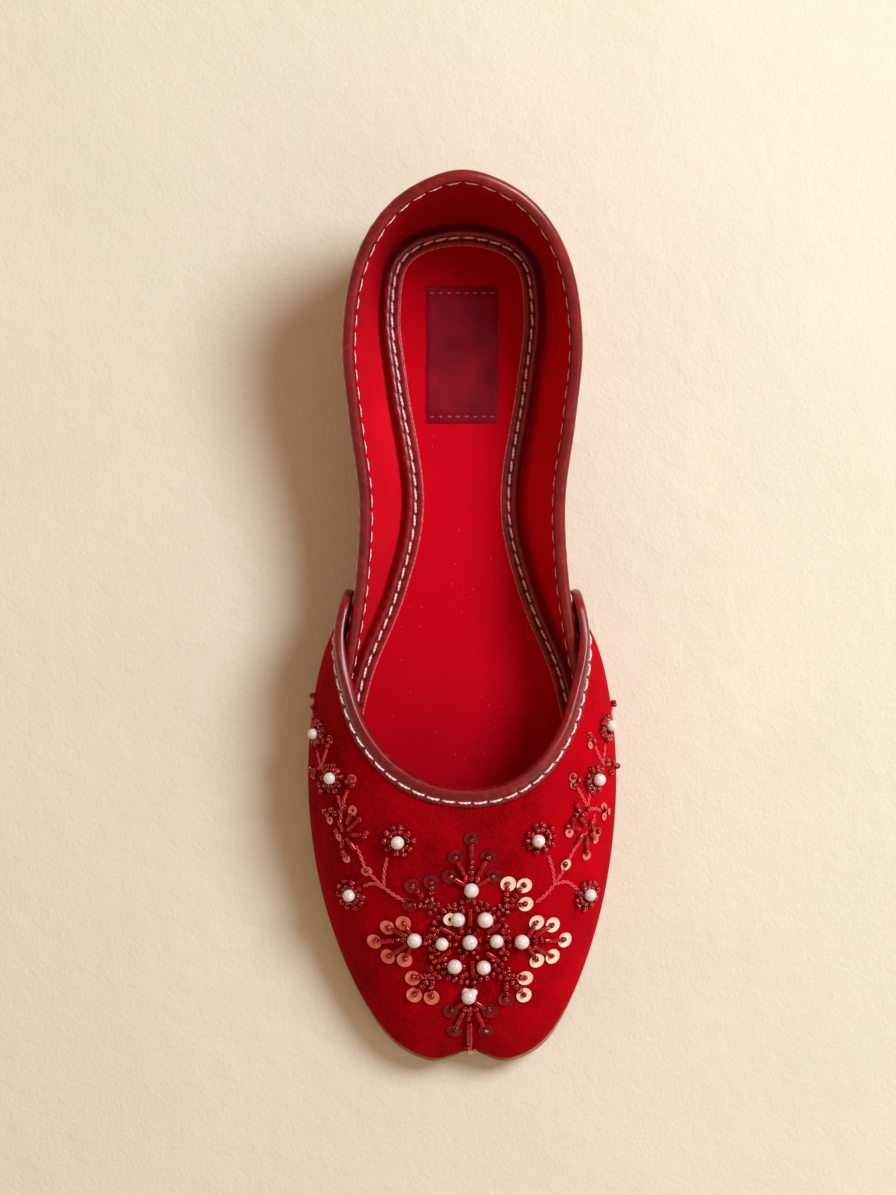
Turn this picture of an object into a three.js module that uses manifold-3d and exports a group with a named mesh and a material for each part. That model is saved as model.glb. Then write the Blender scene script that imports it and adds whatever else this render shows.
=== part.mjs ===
// A mojari: a flat slip-on shoe with a leather sole and a velvet upper edged in leather.
// Millimetres, +Z up, toe towards -Y. "along" is the distance behind the front of the toe and
// "half" the distance from the centre line. A side is -1 for the left and +1 for the right.
import * as THREE from "three";
import { mergeVertices } from "three/addons/utils/BufferGeometryUtils.js";
import Module from "manifold-3d";

const wasm = await Module();
wasm.setup();

// ---- Driving sizes ----------------------------------------------------------------------
const GAP = 0.3; // clearance between pieces that lie against each other

const SOLE = { thickness: 5, breast: 188 };
const HEEL = { rise: 3.4, from: 120, to: 195 }; // the waist climbs to the heel between these
const SPRING = { rise: 4, from: 45 }; // the toe lifts in front of this line
const SWING = { reach: 2.4, from: 85, power: 2.2 }; // the toe leans to the right
const CLEFT = { depth: 2.7, width: 5.8, fade: 4 }; // the notch between the two lobes of the toe

// The walls stand `inset` inside the sole's edge. The vamp ends at `back`, in wings with round
// corners. The quarter starts at `front`, inside the vamp, and leaves its wall between `meets`
// and `leaves`; it swells by `bulge` and a share of its flare.
const VAMP = { wall: 1.8, inset: 0.6, back: 133, corner: 9, wingHeight: 27 };
const QUARTER = { wall: 2, inset: 3.3, front: 103, meets: 106, leaves: 114, bulge: 2 };
const INSOLE = { inset: 5.8, lip: 3, thickness: 2.5 };

// How finely the pieces are divided.
const PLAN_SIDES = 84;
const VAMP_GRID = { columns: 52, rows: 12, crowding: 0.6 };
const QUARTER_GRID = { columns: 52, rows: 8, crowding: 0.5 };
const THROAT_STEPS = 76;
const COLLAR_STEPS = 62;

// Plan of the sole, from the middle of the heel round to the middle of the toe.
const SOLE_EDGE = [
  { part: "heel back", along: 249, half: 0 },
  { part: "heel round", along: 245, half: 17.2 },
  { part: "heel corner", along: 236, half: 26.2 },
  { part: "heel", along: 218, half: 29.2 },
  { part: "heel front", along: 196, half: 27 },
  { part: "waist", along: 162, half: 22.4 },
  { part: "arch", along: 140, half: 27.2 },
  { part: "joint", along: 113, half: 37.6 },
  { part: "ball", along: 82, half: 42.4 },
  { part: "toes", along: 46, half: 39.8 },
  { part: "toe side", along: 19, half: 31.2 },
  { part: "toe corner", along: 5.2, half: 22.2 },
  { part: "lobe", along: 0, half: 12.5 },
  { part: "toe front", along: 0, half: 0 },
];

// Top edge of the quarter, on its outer face.
const COLLAR = [
  { part: "peak", along: 253, half: 0, z: 57 },
  { part: "beside the peak", along: 248.5, half: 14, z: 55.4 },
  { part: "heel corner", along: 240, half: 23.6, z: 52.4 },
  { part: "heel side", along: 227, half: 30.2, z: 47.8 },
  { part: "ankle", along: 207, half: 33.1, z: 42.4 },
  { part: "waist back", along: 186, half: 31.4, z: 37.2 },
  { part: "waist", along: 163, half: 28.6, z: 33.6 },
  { part: "waist front", along: 141, half: 29.6, z: 31.4 },
  { part: "under the wing", along: 122, half: 32.4, z: 30.2 },
  { part: "front end", along: 103, half: 36.4, z: 26.4 },
];

// Top edge of the vamp, on its outer face, from the middle of the throat to the tip of a wing.
const THROAT = [
  { part: "middle", along: 80.4, half: 0, z: 43 },
  { part: "bend", along: 82.3, half: 11.3, z: 42.7 },
  { part: "corner", along: 88, half: 20.5, z: 41.8 },
  { part: "side front", along: 98, half: 28.2, z: 39.8 },
  { part: "side", along: 110, half: 32.6, z: 37.2 },
  { part: "side back", along: 124, half: 35.3, z: 33.8 },
  { part: "wing tip", along: 138, half: 33.1, z: 29.6 },
];

// How the vamp rises from the sole to its top edge, in sections spread from the middle of the
// toe (share 0) to the back edge of a wing (share 1). It leaves the sole with `bulge` outwards
// and `shoulder` upwards, and comes to its top edge over `crown` level and `droop` down.
const VAMP_RISE = [
  { share: 0, bulge: 0.4, shoulder: 9, crown: 40, droop: 14 },
  { share: 0.25, bulge: 3, shoulder: 10, crown: 36, droop: 11 },
  { share: 0.5, bulge: 7, shoulder: 11, crown: 24, droop: 8 },
  { share: 0.75, bulge: 9.5, shoulder: 12, crown: 11, droop: 8 },
  { share: 0.9, bulge: 9.5, shoulder: 12, crown: 4, droop: 8 },
  { share: 1, bulge: 5, shoulder: 10, crown: 1, droop: 9 },
];

// Sections of the leather bindings: `in` runs from the edge inwards over the piece, and `off`
// stands off its outer face.
const COLLAR_ROLL = [
  { in: 5, off: 0.4 },
  { in: 5, off: 1.1 },
  { in: 0.6, off: 1.3 },
  { in: -0.8, off: 0.8 },
  { in: -1.3, off: -1 },
  { in: -0.8, off: -2.8 },
  { in: 0.6, off: -3.3 },
  { in: 5, off: -3.1 },
  { in: 5, off: -2.4 },
  { in: -0.4, off: -2.4 },
  { in: -0.4, off: 0.4 },
];
const THROAT_ROLL = [
  { in: 5, off: 0.4 },
  { in: 5, off: 1.1 },
  { in: 0.6, off: 1.3 },
  { in: -0.8, off: 0.8 },
  { in: -1.3, off: -0.4 },
  { in: -1.1, off: -1.3 },
  { in: -0.4, off: -1.3 },
  { in: -0.4, off: 0.4 },
];
// The insole's binding: `in` from its edge towards the middle, `up` above the sole.
const INSOLE_ROLL = [
  { in: 0, up: GAP },
  { in: 0, up: 2.6 },
  { in: 0.6, up: 3.6 },
  { in: 1.6, up: 4 },
  { in: 2.6, up: 3.8 },
  { in: 5.4, up: 3.7 },
  { in: 5.4, up: 3.1 },
  { in: 3, up: 3.1 },
  { in: 3, up: GAP },
];

const LEATHER = { tan: 0xa87048, maroon: 0x5e1420 };
const FABRIC = { velvet: 0xa30514, felt: 0xb80019 };

// ---- Curves -----------------------------------------------------------------------------
const { clamp, smoothstep } = THREE.MathUtils;

// A column of a table as a smooth curve over its key, level at both ends.
function columnAt(rows, key, column, where) {
  const last = rows.length - 1;
  const slope = (i) =>
    i === 0 || i === last
      ? 0
      : (rows[i + 1][column] - rows[i - 1][column]) / (rows[i + 1][key] - rows[i - 1][key]);
  let i = 0;
  while (i < last - 1 && where > rows[i + 1][key]) i++;
  const step = rows[i + 1][key] - rows[i][key];
  const f = clamp((where - rows[i][key]) / step, 0, 1);
  return (
    rows[i][column] * (1 + 2 * f) * (1 - f) ** 2 +
    slope(i) * step * f * (1 - f) ** 2 +
    rows[i + 1][column] * f * f * (3 - 2 * f) -
    slope(i + 1) * step * f * f * (1 - f)
  );
}

// The value between low and high where a rising function passes zero.
function solve(rising, low, high) {
  for (let i = 0; i < 24; i++) {
    const middle = (low + high) / 2;
    if (rising(middle) < 0) low = middle;
    else high = middle;
  }
  return (low + high) / 2;
}

// A smooth curve through a table's rows on the right and their mirror images on the left.
// It runs from the table's first row down the right-hand side, and back up the left if closed.
function loopThrough(rows) {
  const right = rows.map((r) => new THREE.Vector3(r.half, r.along, r.z ?? 0));
  const left = right.slice(1, -1).reverse();
  const points = [...right, ...left.map((p) => new THREE.Vector3(-p.x, p.y, p.z))];
  return new THREE.CatmullRomCurve3(points, true, "centripetal");
}

// The same for a table whose first row is the middle: from the last row on the left to the
// last on the right. It is read with a share from -1 to 1.
function archThrough(rows) {
  const right = rows.map((r) => new THREE.Vector3(r.half, r.along, r.z));
  const left = right.slice(1).reverse();
  const points = [...left.map((p) => new THREE.Vector3(-p.x, p.y, p.z)), ...right];
  const curve = new THREE.CatmullRomCurve3(points, false, "centripetal");
  curve.arcLengthDivisions = 600;
  return (share) => curve.getPointAt(clamp((share + 1) / 2, 0, 1));
}

const soleEdge = loopThrough(SOLE_EDGE);
soleEdge.arcLengthDivisions = 1200;
const collar = archThrough(COLLAR);
const throat = archThrough(THROAT);

// Where round the sole's edge, 0 at the heel and 0.5 at the toe, the right side passes a line.
const turnAt = (along) => solve((turn) => along - soleEdge.getPointAt(turn).y, 0, 0.5);

const swing = (along) => SWING.reach * Math.max(0, 1 - along / SWING.from) ** SWING.power;
const cleftAt = (x) => CLEFT.depth * Math.exp(-(((x - SWING.reach) / CLEFT.width) ** 2));

const toeLift = (along) => SPRING.rise * Math.max(0, 1 - along / SPRING.from) ** 2;
const heelLift = (along) => HEEL.rise * smoothstep(along, HEEL.from, HEEL.to);
const soleTop = (along) => SOLE.thickness + toeLift(along) + heelLift(along);

// A point on the sole's plan, `inset` inside its edge, and the outward direction there.
function edgeAt(turn, inset) {
  const wrapped = turn - Math.floor(turn);
  const point = soleEdge.getPointAt(wrapped);
  const tangent = soleEdge.getTangentAt(wrapped);
  const outward = new THREE.Vector3(-tangent.y, tangent.x, 0).normalize();
  point.addScaledVector(outward, -inset);
  point.x += swing(point.y);
  return { point, outward };
}

// ---- The surfaces of the upper ----------------------------------------------------------
// Each takes (share, rise): share from -1 on the left to 1 on the right, rise from 0 at the
// sole to 1 at the top edge.
function bezier(a, b, c, d, t) {
  const s = 1 - t;
  return new THREE.Vector3()
    .addScaledVector(a, s * s * s)
    .addScaledVector(b, 3 * s * s * t)
    .addScaledVector(c, 3 * s * t * t)
    .addScaledVector(d, t * t * t);
}

const vampTurn = turnAt(VAMP.back);
const quarterTurn = turnAt(QUARTER.front);

// The vamp's sections start evenly along the sole and close up towards the middle of the throat.
const CLOSING = 0.55;
const throatShare = (share) => share * (1 - CLOSING + CLOSING * Math.abs(share));

function vampForm(share, rise) {
  const size = Math.abs(share);
  const { point: foot, outward } = edgeAt(0.5 - share * (0.5 - vampTurn), VAMP.inset);
  foot.z = soleTop(foot.y) + GAP;
  const top = throat(throatShare(share));
  top.x += SWING.reach * (1 - Math.abs(top.x) / THROAT.at(-1).half);
  const level = new THREE.Vector3(foot.x - top.x, foot.y - top.y, 0).normalize();
  const shape = (column) => columnAt(VAMP_RISE, "share", column, size);
  const low = foot.clone().addScaledVector(outward, shape("bulge"));
  low.z += shape("shoulder");
  const high = top.clone().addScaledVector(level, shape("crown"));
  high.z -= shape("droop");
  return bezier(foot, low, high, top, rise);
}

// The vamp's outer face: its form with the cleft of the toe pressed into it.
function vampFace(share, rise) {
  const point = vampForm(share, rise);
  point.y += cleftAt(point.x) * Math.max(0, 1 - rise) ** CLEFT.fade;
  return point;
}

// Where the middle of the vamp's wall stands at a place on its side, behind its front part.
const SIDE_FROM = 0.3;
function vampSide(side, along, z) {
  const reach = (share) => {
    const rise = solve((r) => vampForm(side * share, r).z - z, 0, 1);
    return vampForm(side * share, rise);
  };
  const share = solve((s) => reach(s).y - along, SIDE_FROM, 1);
  return reach(share).x - (side * VAMP.wall) / 2;
}

function quarterFace(share, rise) {
  const side = Math.sign(share) || 1;
  const { point: foot, outward } = edgeAt(share * quarterTurn, QUARTER.inset);
  foot.z = soleTop(foot.y) + GAP;
  const top = collar(share);
  const flare = Math.hypot(top.x - foot.x, top.y - foot.y);
  const height = top.z - foot.z;
  const low = foot.clone().addScaledVector(outward, 0.45 * flare + QUARTER.bulge);
  low.z += 0.3 * height;
  const high = top.clone();
  high.z -= 0.35 * height;
  const point = bezier(foot, low, high, top, rise);
  // The front end leans into the wall of the vamp, where the two are sewn together.
  const sewn = 1 - smoothstep(point.y, QUARTER.meets, QUARTER.leaves);
  if (sewn > 0) point.x += sewn * (vampSide(side, point.y, point.z) - point.x);
  return point;
}

// The outward normal of a surface, and the steps along it that its parameters make.
const STEP = 2e-3;
function frameOf(surface, turn, share, rise) {
  const lowShare = Math.max(-1, share - STEP);
  const highShare = Math.min(1, share + STEP);
  const lowRise = Math.max(0, rise - STEP);
  const highRise = Math.min(1, rise + STEP);
  const across = surface(highShare, rise).sub(surface(lowShare, rise));
  const up = surface(share, highRise).sub(surface(share, lowRise));
  across.divideScalar(highShare - lowShare);
  up.divideScalar(highRise - lowRise);
  const normal = across.clone().cross(up).normalize().multiplyScalar(turn);
  return { across, up, normal };
}
const VAMP_SIDE = 1; // across x up points out of the vamp
const QUARTER_SIDE = -1; // and into the quarter

// ---- Making solids ----------------------------------------------------------------------
function geometryOf(points, triangles) {
  const geometry = new THREE.BufferGeometry().setFromPoints(points);
  geometry.setIndex(triangles.flat());
  return geometry;
}

function solidOf(geometry) {
  const bare = geometry.clone();
  bare.deleteAttribute("normal");
  bare.deleteAttribute("uv");
  const merged = mergeVertices(bare, 1e-4);
  const vertProperties = merged.attributes.position.array;
  const triVerts = new Uint32Array(merged.index.array);
  return new wasm.Manifold(new wasm.Mesh({ numProp: 3, vertProperties, triVerts }));
}

function geometryFrom(solid) {
  const { numProp, vertProperties, triVerts } = solid.getMesh();
  const positions = [];
  for (let i = 0; i < vertProperties.length; i += numProp)
    positions.push(...vertProperties.subarray(i, i + 3));
  const geometry = new THREE.BufferGeometry();
  geometry.setAttribute("position", new THREE.Float32BufferAttribute(positions, 3));
  geometry.setIndex([...triVerts]);
  return geometry;
}

// A sheet with thickness: outer and inner faces over the same shares and rises, and its rims.
function sheet(outer, inner, shares, risesOf, turned) {
  const points = [];
  const columns = shares.length;
  const rows = risesOf(0).length;
  for (const face of [outer, inner])
    for (const share of shares) for (const rise of risesOf(share)) points.push(face(share, rise));
  const out = (i, j) => i * rows + j;
  const back = (i, j) => (columns + i) * rows + j;
  const triangles = [];
  const quad = (a, b, c, d) => triangles.push([a, b, c], [a, c, d]);
  for (let i = 0; i < columns - 1; i++)
    for (let j = 0; j < rows - 1; j++) {
      quad(out(i, j), out(i + 1, j), out(i + 1, j + 1), out(i, j + 1));
      quad(back(i, j), back(i, j + 1), back(i + 1, j + 1), back(i + 1, j));
    }
  const right = columns - 1;
  const top = rows - 1;
  for (let i = 0; i < right; i++) {
    quad(out(i + 1, 0), out(i, 0), back(i, 0), back(i + 1, 0));
    quad(out(i, top), out(i + 1, top), back(i + 1, top), back(i, top));
  }
  for (let j = 0; j < top; j++) {
    quad(out(0, j), out(0, j + 1), back(0, j + 1), back(0, j));
    quad(out(right, j + 1), out(right, j), back(right, j), back(right, j + 1));
  }
  if (turned) for (const t of triangles) t.reverse();
  return geometryOf(points, triangles);
}

// A bar through rings of points, closed into a loop or capped at both ends.
function bar(rings, profile, closed) {
  const size = profile.length;
  const triangles = [];
  const last = closed ? rings.length : rings.length - 1;
  for (let i = 0; i < last; i++)
    for (let j = 0; j < size; j++) {
      const a = i * size + j;
      const b = i * size + ((j + 1) % size);
      const across = ((i + 1) % rings.length) * size;
      const c = across + ((j + 1) % size);
      const d = across + j;
      triangles.push([a, b, c], [a, c, d]);
    }
  if (!closed) {
    const end = (rings.length - 1) * size;
    for (const [a, b, c] of THREE.ShapeUtils.triangulateShape(profile, []))
      triangles.push([a, b, c].reverse(), [end + a, end + b, end + c]);
  }
  const geometry = geometryOf(rings.flat(), triangles);
  if (solidOf(geometry).volume() > 0) return geometry;
  return geometryOf(rings.flat(), triangles.map((t) => t.reverse()));
}

// Turns round the sole's edge, closer together round the heel and the toe.
function turnsRound(count) {
  const CROWDING = 0.6;
  const even = Array.from({ length: count }, (_, i) => i / count);
  return even.map((t) => t - (CROWDING * Math.sin(4 * Math.PI * t)) / (4 * Math.PI));
}

// A plate of the sole's plan, and a block with the sole's side view, cut together. Both run
// well past the shoe.
const BEYOND = 60;
function plate(planInset, cleft, floor, ceiling) {
  const plan = new THREE.Shape();
  turnsRound(PLAN_SIDES).forEach((turn, i) => {
    const { point } = edgeAt(turn, planInset);
    const y = point.y + cleft * cleftAt(point.x) * (point.y < SPRING.from ? 1 : 0);
    if (i === 0) plan.moveTo(point.x, y);
    else plan.lineTo(point.x, y);
  });
  const outline = new THREE.ExtrudeGeometry(plan, { depth: 2 * BEYOND, bevelEnabled: false });
  outline.translate(0, 0, -BEYOND);

  const side = new THREE.Shape();
  ceiling.forEach(([along, z], i) => (i ? side.lineTo(along, z) : side.moveTo(along, z)));
  [...floor].reverse().forEach(([along, z]) => side.lineTo(along, z));
  const profile = new THREE.ExtrudeGeometry(side, { depth: 2 * BEYOND, bevelEnabled: false });
  profile.translate(0, 0, -BEYOND);
  const sideways = new THREE.Matrix4().makeBasis(
    new THREE.Vector3(0, 1, 0),
    new THREE.Vector3(0, 0, 1),
    new THREE.Vector3(1, 0, 0),
  );
  profile.applyMatrix4(sideways);
  return geometryFrom(solidOf(outline).intersect(solidOf(profile)));
}

// Stations along the shoe, close together where its side view curves.
const STATIONS = [-6, 4, 10, 16, 22, 28, 34, 40, 45, 116, 124, 132, 140, 148, 156, 164, 172, 180];
const heightsOver = (stations, height) => stations.map((along) => [along, height(along)]);
const TAIL = [188, 196, 260];

// A strip that follows an edge of a surface: path gives (share, rise) from 0 to 1.
function edging(surface, turned, path, stations, roll) {
  const NUDGE = 1e-3;
  const rings = stations.map((where) => {
    const { share, rise } = path(where);
    const before = path(Math.max(0, where - NUDGE));
    const after = path(Math.min(1, where + NUDGE));
    const tangent = surface(after.share, after.rise).sub(surface(before.share, before.rise));
    const { across, up, normal } = frameOf(surface, turned, share, rise);
    const inward = tangent.cross(normal).normalize().multiplyScalar(turned);
    // Steps in share and rise that carry a point 1 mm inwards over the surface.
    const aa = across.dot(across);
    const ab = across.dot(up);
    const bb = up.dot(up);
    const a = across.dot(inward);
    const b = up.dot(inward);
    const det = aa * bb - ab * ab;
    const stepShare = (a * bb - b * ab) / det;
    const stepRise = (b * aa - a * ab) / det;
    return roll.map((corner) => {
      if (corner.in <= 0)
        return surface(share, rise)
          .addScaledVector(inward, corner.in)
          .addScaledVector(normal, corner.off);
      const at = [share + stepShare * corner.in, rise + stepRise * corner.in];
      const local = frameOf(surface, turned, ...at);
      return surface(...at).addScaledVector(local.normal, corner.off);
    });
  });
  const profile = roll.map((corner) => new THREE.Vector2(corner.in, corner.off));
  return bar(rings, profile, false);
}

// Even steps from 0 to 1.
const steps = (count) => Array.from({ length: count + 1 }, (_, i) => i / count);

// ---- The pieces -------------------------------------------------------------------------
function makeOutsole() {
  const bottom = (along) => soleTop(along) - SOLE.thickness;
  const floor = heightsOver([...STATIONS, SOLE.breast], bottom);
  floor.push([SOLE.breast, 0], [TAIL.at(-1), 0]);
  return plate(0, 1, floor, heightsOver([...STATIONS, ...TAIL], soleTop));
}

function makeInsole() {
  const inset = INSOLE.inset + INSOLE.lip + GAP;
  const lowest = (along) => soleTop(along) + GAP;
  const highest = (along) => soleTop(along) + GAP + INSOLE.thickness;
  const stations = [...STATIONS, ...TAIL];
  return plate(inset, 0, heightsOver(stations, lowest), heightsOver(stations, highest));
}

function makeInsoleBinding() {
  const profile = INSOLE_ROLL.map((corner) => new THREE.Vector2(corner.in, corner.up));
  const rings = turnsRound(PLAN_SIDES).map((turn) =>
    INSOLE_ROLL.map((corner) => {
      const { point } = edgeAt(turn, INSOLE.inset + corner.in);
      point.z = soleTop(point.y) + corner.up;
      return point;
    }),
  );
  return bar(rings, profile, true);
}

// The wings of the vamp have round corners: near their back edge the top edge drops.
const wingWidth = 0.5 * soleEdge.getLength() * (1 - 2 * vampTurn);
function vampTop(share) {
  const back = (1 - Math.abs(share)) * wingWidth;
  const inCorner = Math.max(0, VAMP.corner - back);
  const drop = VAMP.corner - Math.sqrt(VAMP.corner ** 2 - inCorner ** 2);
  return 1 - drop / VAMP.wingHeight;
}

// Shares from -1 to 1, closer together at the toe and at the ends of the wings.
const crowded = ({ columns, crowding }) =>
  steps(columns).map((t) => {
    const even = 2 * t - 1;
    return even - (crowding * Math.sin(2 * Math.PI * even)) / (2 * Math.PI);
  });

// The inner face of a wall, along the normals of a surface.
const innerFace = (face, form, turned, wall) => (share, rise) =>
  face(share, rise).addScaledVector(frameOf(form, turned, share, rise).normal, -wall);

function makeUpper() {
  const vamp = sheet(
    vampFace,
    innerFace(vampFace, vampForm, VAMP_SIDE, VAMP.wall),
    crowded(VAMP_GRID),
    (share) => steps(VAMP_GRID.rows).map((rise) => rise * vampTop(share)),
    false,
  );
  const quarter = sheet(
    quarterFace,
    innerFace(quarterFace, quarterFace, QUARTER_SIDE, QUARTER.wall),
    crowded(QUARTER_GRID),
    () => steps(QUARTER_GRID.rows),
    true,
  );
  return geometryFrom(solidOf(vamp).add(solidOf(quarter)));
}

// Round the vamp's free edge: up the back of the left wing, round the throat, and down the right.
const WING_SHARE = 0.16; // of the way, for each wing's back edge
const FOOT_RISE = 0.06;
function throatPath(where) {
  const side = where < 0.5 ? -1 : 1;
  const fromEnd = Math.min(where, 1 - where);
  const cornerRise = vampTop(1);
  if (fromEnd < WING_SHARE) {
    const rise = FOOT_RISE + (cornerRise - FOOT_RISE) * (fromEnd / WING_SHARE);
    return { share: side, rise };
  }
  // Round the corner and along the throat, at an even pace through the corner.
  const done = (fromEnd - WING_SHARE) / (0.5 - WING_SHARE);
  const CORNER_DONE = 0.15;
  const cornerShare = VAMP.corner / wingWidth;
  const turned = (Math.PI / 2) * Math.min(1, done / CORNER_DONE);
  const past = Math.max(0, (done - CORNER_DONE) / (1 - CORNER_DONE));
  const size = (1 - past) * (1 - cornerShare * (1 - Math.cos(turned)));
  return { share: side * size, rise: vampTop(size) };
}

function makeThroatBinding() {
  return edging(vampForm, VAMP_SIDE, throatPath, steps(THROAT_STEPS), THROAT_ROLL);
}

// Along the collar, as far forward as the binding shows.
const COLLAR_REACH = 0.93;
function makeCollarBinding() {
  const path = (where) => ({ share: (2 * where - 1) * COLLAR_REACH, rise: 1 });
  return edging(quarterFace, QUARTER_SIDE, path, steps(COLLAR_STEPS), COLLAR_ROLL);
}

// ---- The shoe ---------------------------------------------------------------------------
const shoe = new THREE.Group();
function addPiece(name, geometry, color, roughness) {
  geometry.computeVertexNormals();
  const material = new THREE.MeshStandardMaterial({ color, roughness, metalness: 0 });
  const mesh = new THREE.Mesh(geometry, material);
  mesh.name = name;
  shoe.add(mesh);
}
addPiece("outsole", makeOutsole(), LEATHER.tan, 0.7);
addPiece("insole", makeInsole(), FABRIC.felt, 0.95);
addPiece("insole_binding", makeInsoleBinding(), LEATHER.maroon, 0.4);
addPiece("upper", makeUpper(), FABRIC.velvet, 0.9);
addPiece("throat_binding", makeThroatBinding(), LEATHER.maroon, 0.4);
addPiece("collar_binding", makeCollarBinding(), LEATHER.maroon, 0.4);

// The origin is on the ground, under the middle of the shoe.
const box = new THREE.Box3().setFromObject(shoe);
const middle = box.getCenter(new THREE.Vector3());
for (const piece of shoe.children) piece.geometry.translate(-middle.x, -middle.y, -box.min.z);

export default shoe;
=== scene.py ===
"""A mojari in red velvet, with a bound throat and collar, a bound insole and a beaded vamp.

Shapes are worked out in millimetres as (x, along, z): "along" is the distance behind the front
of the toe, x is 0 on the centre line, and z is 0 on the ground. to_frame() turns them into the
frame's metres. The surfaces of the upper take (share, rise): share runs from -1 on the left to
1 on the right, and rise from 0 at the sole to 1 at the top edge.
"""

import math
from collections import defaultdict

import bpy
import numpy as np
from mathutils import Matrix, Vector
from mathutils.bvhtree import BVHTree


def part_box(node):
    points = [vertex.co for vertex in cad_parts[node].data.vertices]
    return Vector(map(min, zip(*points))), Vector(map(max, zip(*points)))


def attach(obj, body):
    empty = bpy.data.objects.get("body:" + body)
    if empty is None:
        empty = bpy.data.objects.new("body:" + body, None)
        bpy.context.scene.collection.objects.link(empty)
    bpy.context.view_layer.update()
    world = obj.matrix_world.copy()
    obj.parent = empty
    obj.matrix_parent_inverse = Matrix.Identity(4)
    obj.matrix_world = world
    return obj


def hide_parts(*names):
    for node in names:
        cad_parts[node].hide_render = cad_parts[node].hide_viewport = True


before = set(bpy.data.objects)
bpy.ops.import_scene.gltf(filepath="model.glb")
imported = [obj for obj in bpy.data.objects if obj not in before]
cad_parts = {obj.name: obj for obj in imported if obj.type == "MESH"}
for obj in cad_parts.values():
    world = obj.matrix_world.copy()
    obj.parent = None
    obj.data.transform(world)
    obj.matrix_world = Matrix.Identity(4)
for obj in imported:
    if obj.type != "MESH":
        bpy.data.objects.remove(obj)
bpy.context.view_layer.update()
rng = np.random.default_rng(11)

# ---- Driving sizes, the same as the frame's --------------------------------------------
SOLE_THICK, BREAST = 5.0, 188.0
HEEL_RISE, HEEL_FROM, HEEL_TO = 3.4, 120.0, 195.0
SPRING_RISE, SPRING_FROM = 4.0, 45.0
SWING, SWING_FROM, SWING_POWER = 2.4, 85.0, 2.2
CLEFT_DEPTH, CLEFT_WIDTH, CLEFT_FADE = 2.7, 5.8, 4
CLEFT_RUN = 40.0  # how far back the cleft is felt in the sole
VAMP = dict(wall=1.8, inset=0.6, back=133.0, corner=9.0, wing=27.0)
QUARTER = dict(wall=2.0, inset=3.3, front=103.0, meets=106.0, leaves=114.0, bulge=2.0)
INSOLE = dict(inset=5.8, lip=3.0, top=2.8, dish=0.35, dish_rim=8.0)
SIT = 0.05  # how far above the sole the walls start
# Details of the toe, which die out between two places along, `full` and `gone`, and as a power,
# `fade`, of the way up the vamp.
SOLE_RIM = dict(depth=0.1, full=8, gone=30)  # the rim of the sole is drawn in
TOE_TUCK = dict(depth=0.95, full=6, gone=26, fade=5)  # the velvet is drawn in over it
TOE_PLEATS = dict(depth=0.16, full=12, gone=34, fade=16, waves=150)
TOE_CREASE = dict(depth=1.5, width=1.7, fade=6)  # the fold that runs up from the cleft

# Plan of the sole: (along, half), from the middle of the heel to the middle of the toe.
SOLE_EDGE = [(249, 0), (245, 17.2), (236, 26.2), (218, 29.2), (196, 27), (162, 22.4), (140, 27.2),
             (113, 37.6), (82, 42.4), (46, 39.8), (19, 31.2), (5.2, 22.2), (0, 12.5), (0, 0)]
# Top edge of the quarter's outer face: (along, half, z), from the peak at the heel forwards.
COLLAR = [(253, 0, 57), (248.5, 14, 55.4), (240, 23.6, 52.4), (227, 30.2, 47.8),
          (207, 33.1, 42.4), (186, 31.4, 37.2), (163, 28.6, 33.6), (141, 29.6, 31.4),
          (122, 32.4, 30.2), (103, 36.4, 26.4)]
# Top edge of the vamp's outer face: (along, half, z), from the middle of the throat to a wing.
THROAT = [(80.4, 0, 43), (82.3, 11.3, 42.7), (88, 20.5, 41.8), (98, 28.2, 39.8),
          (110, 32.6, 37.2), (124, 35.3, 33.8), (138, 33.1, 29.6)]
# How the vamp rises: (share, bulge, shoulder, crown, droop).
VAMP_RISE = [(0, 0.4, 9, 40, 14), (0.25, 3, 10, 36, 11), (0.5, 7, 11, 24, 8),
             (0.75, 9.5, 12, 11, 8), (0.9, 9.5, 12, 4, 8), (1, 5, 10, 1, 9)]

sole_low, sole_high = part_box("outsole")
X_MIDDLE = 500 * (sole_low.x + sole_high.x)  # mm, where the shoe's centre line lies in the frame
HEEL_BACK = 1000 * sole_high.y - SOLE_EDGE[0][0]  # mm, from along 0 to the frame's Y


def to_frame(points):
    return (np.asarray(points, float) + [X_MIDDLE, HEEL_BACK, 0]) / 1000


# ---- Curves -----------------------------------------------------------------------------
def smooth(value, low, high):
    t = np.clip((value - low) / (high - low), 0, 1)
    return t * t * (3 - 2 * t)


def unit(v):
    return v / np.maximum(np.linalg.norm(v, axis=-1, keepdims=True), 1e-12)


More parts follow.
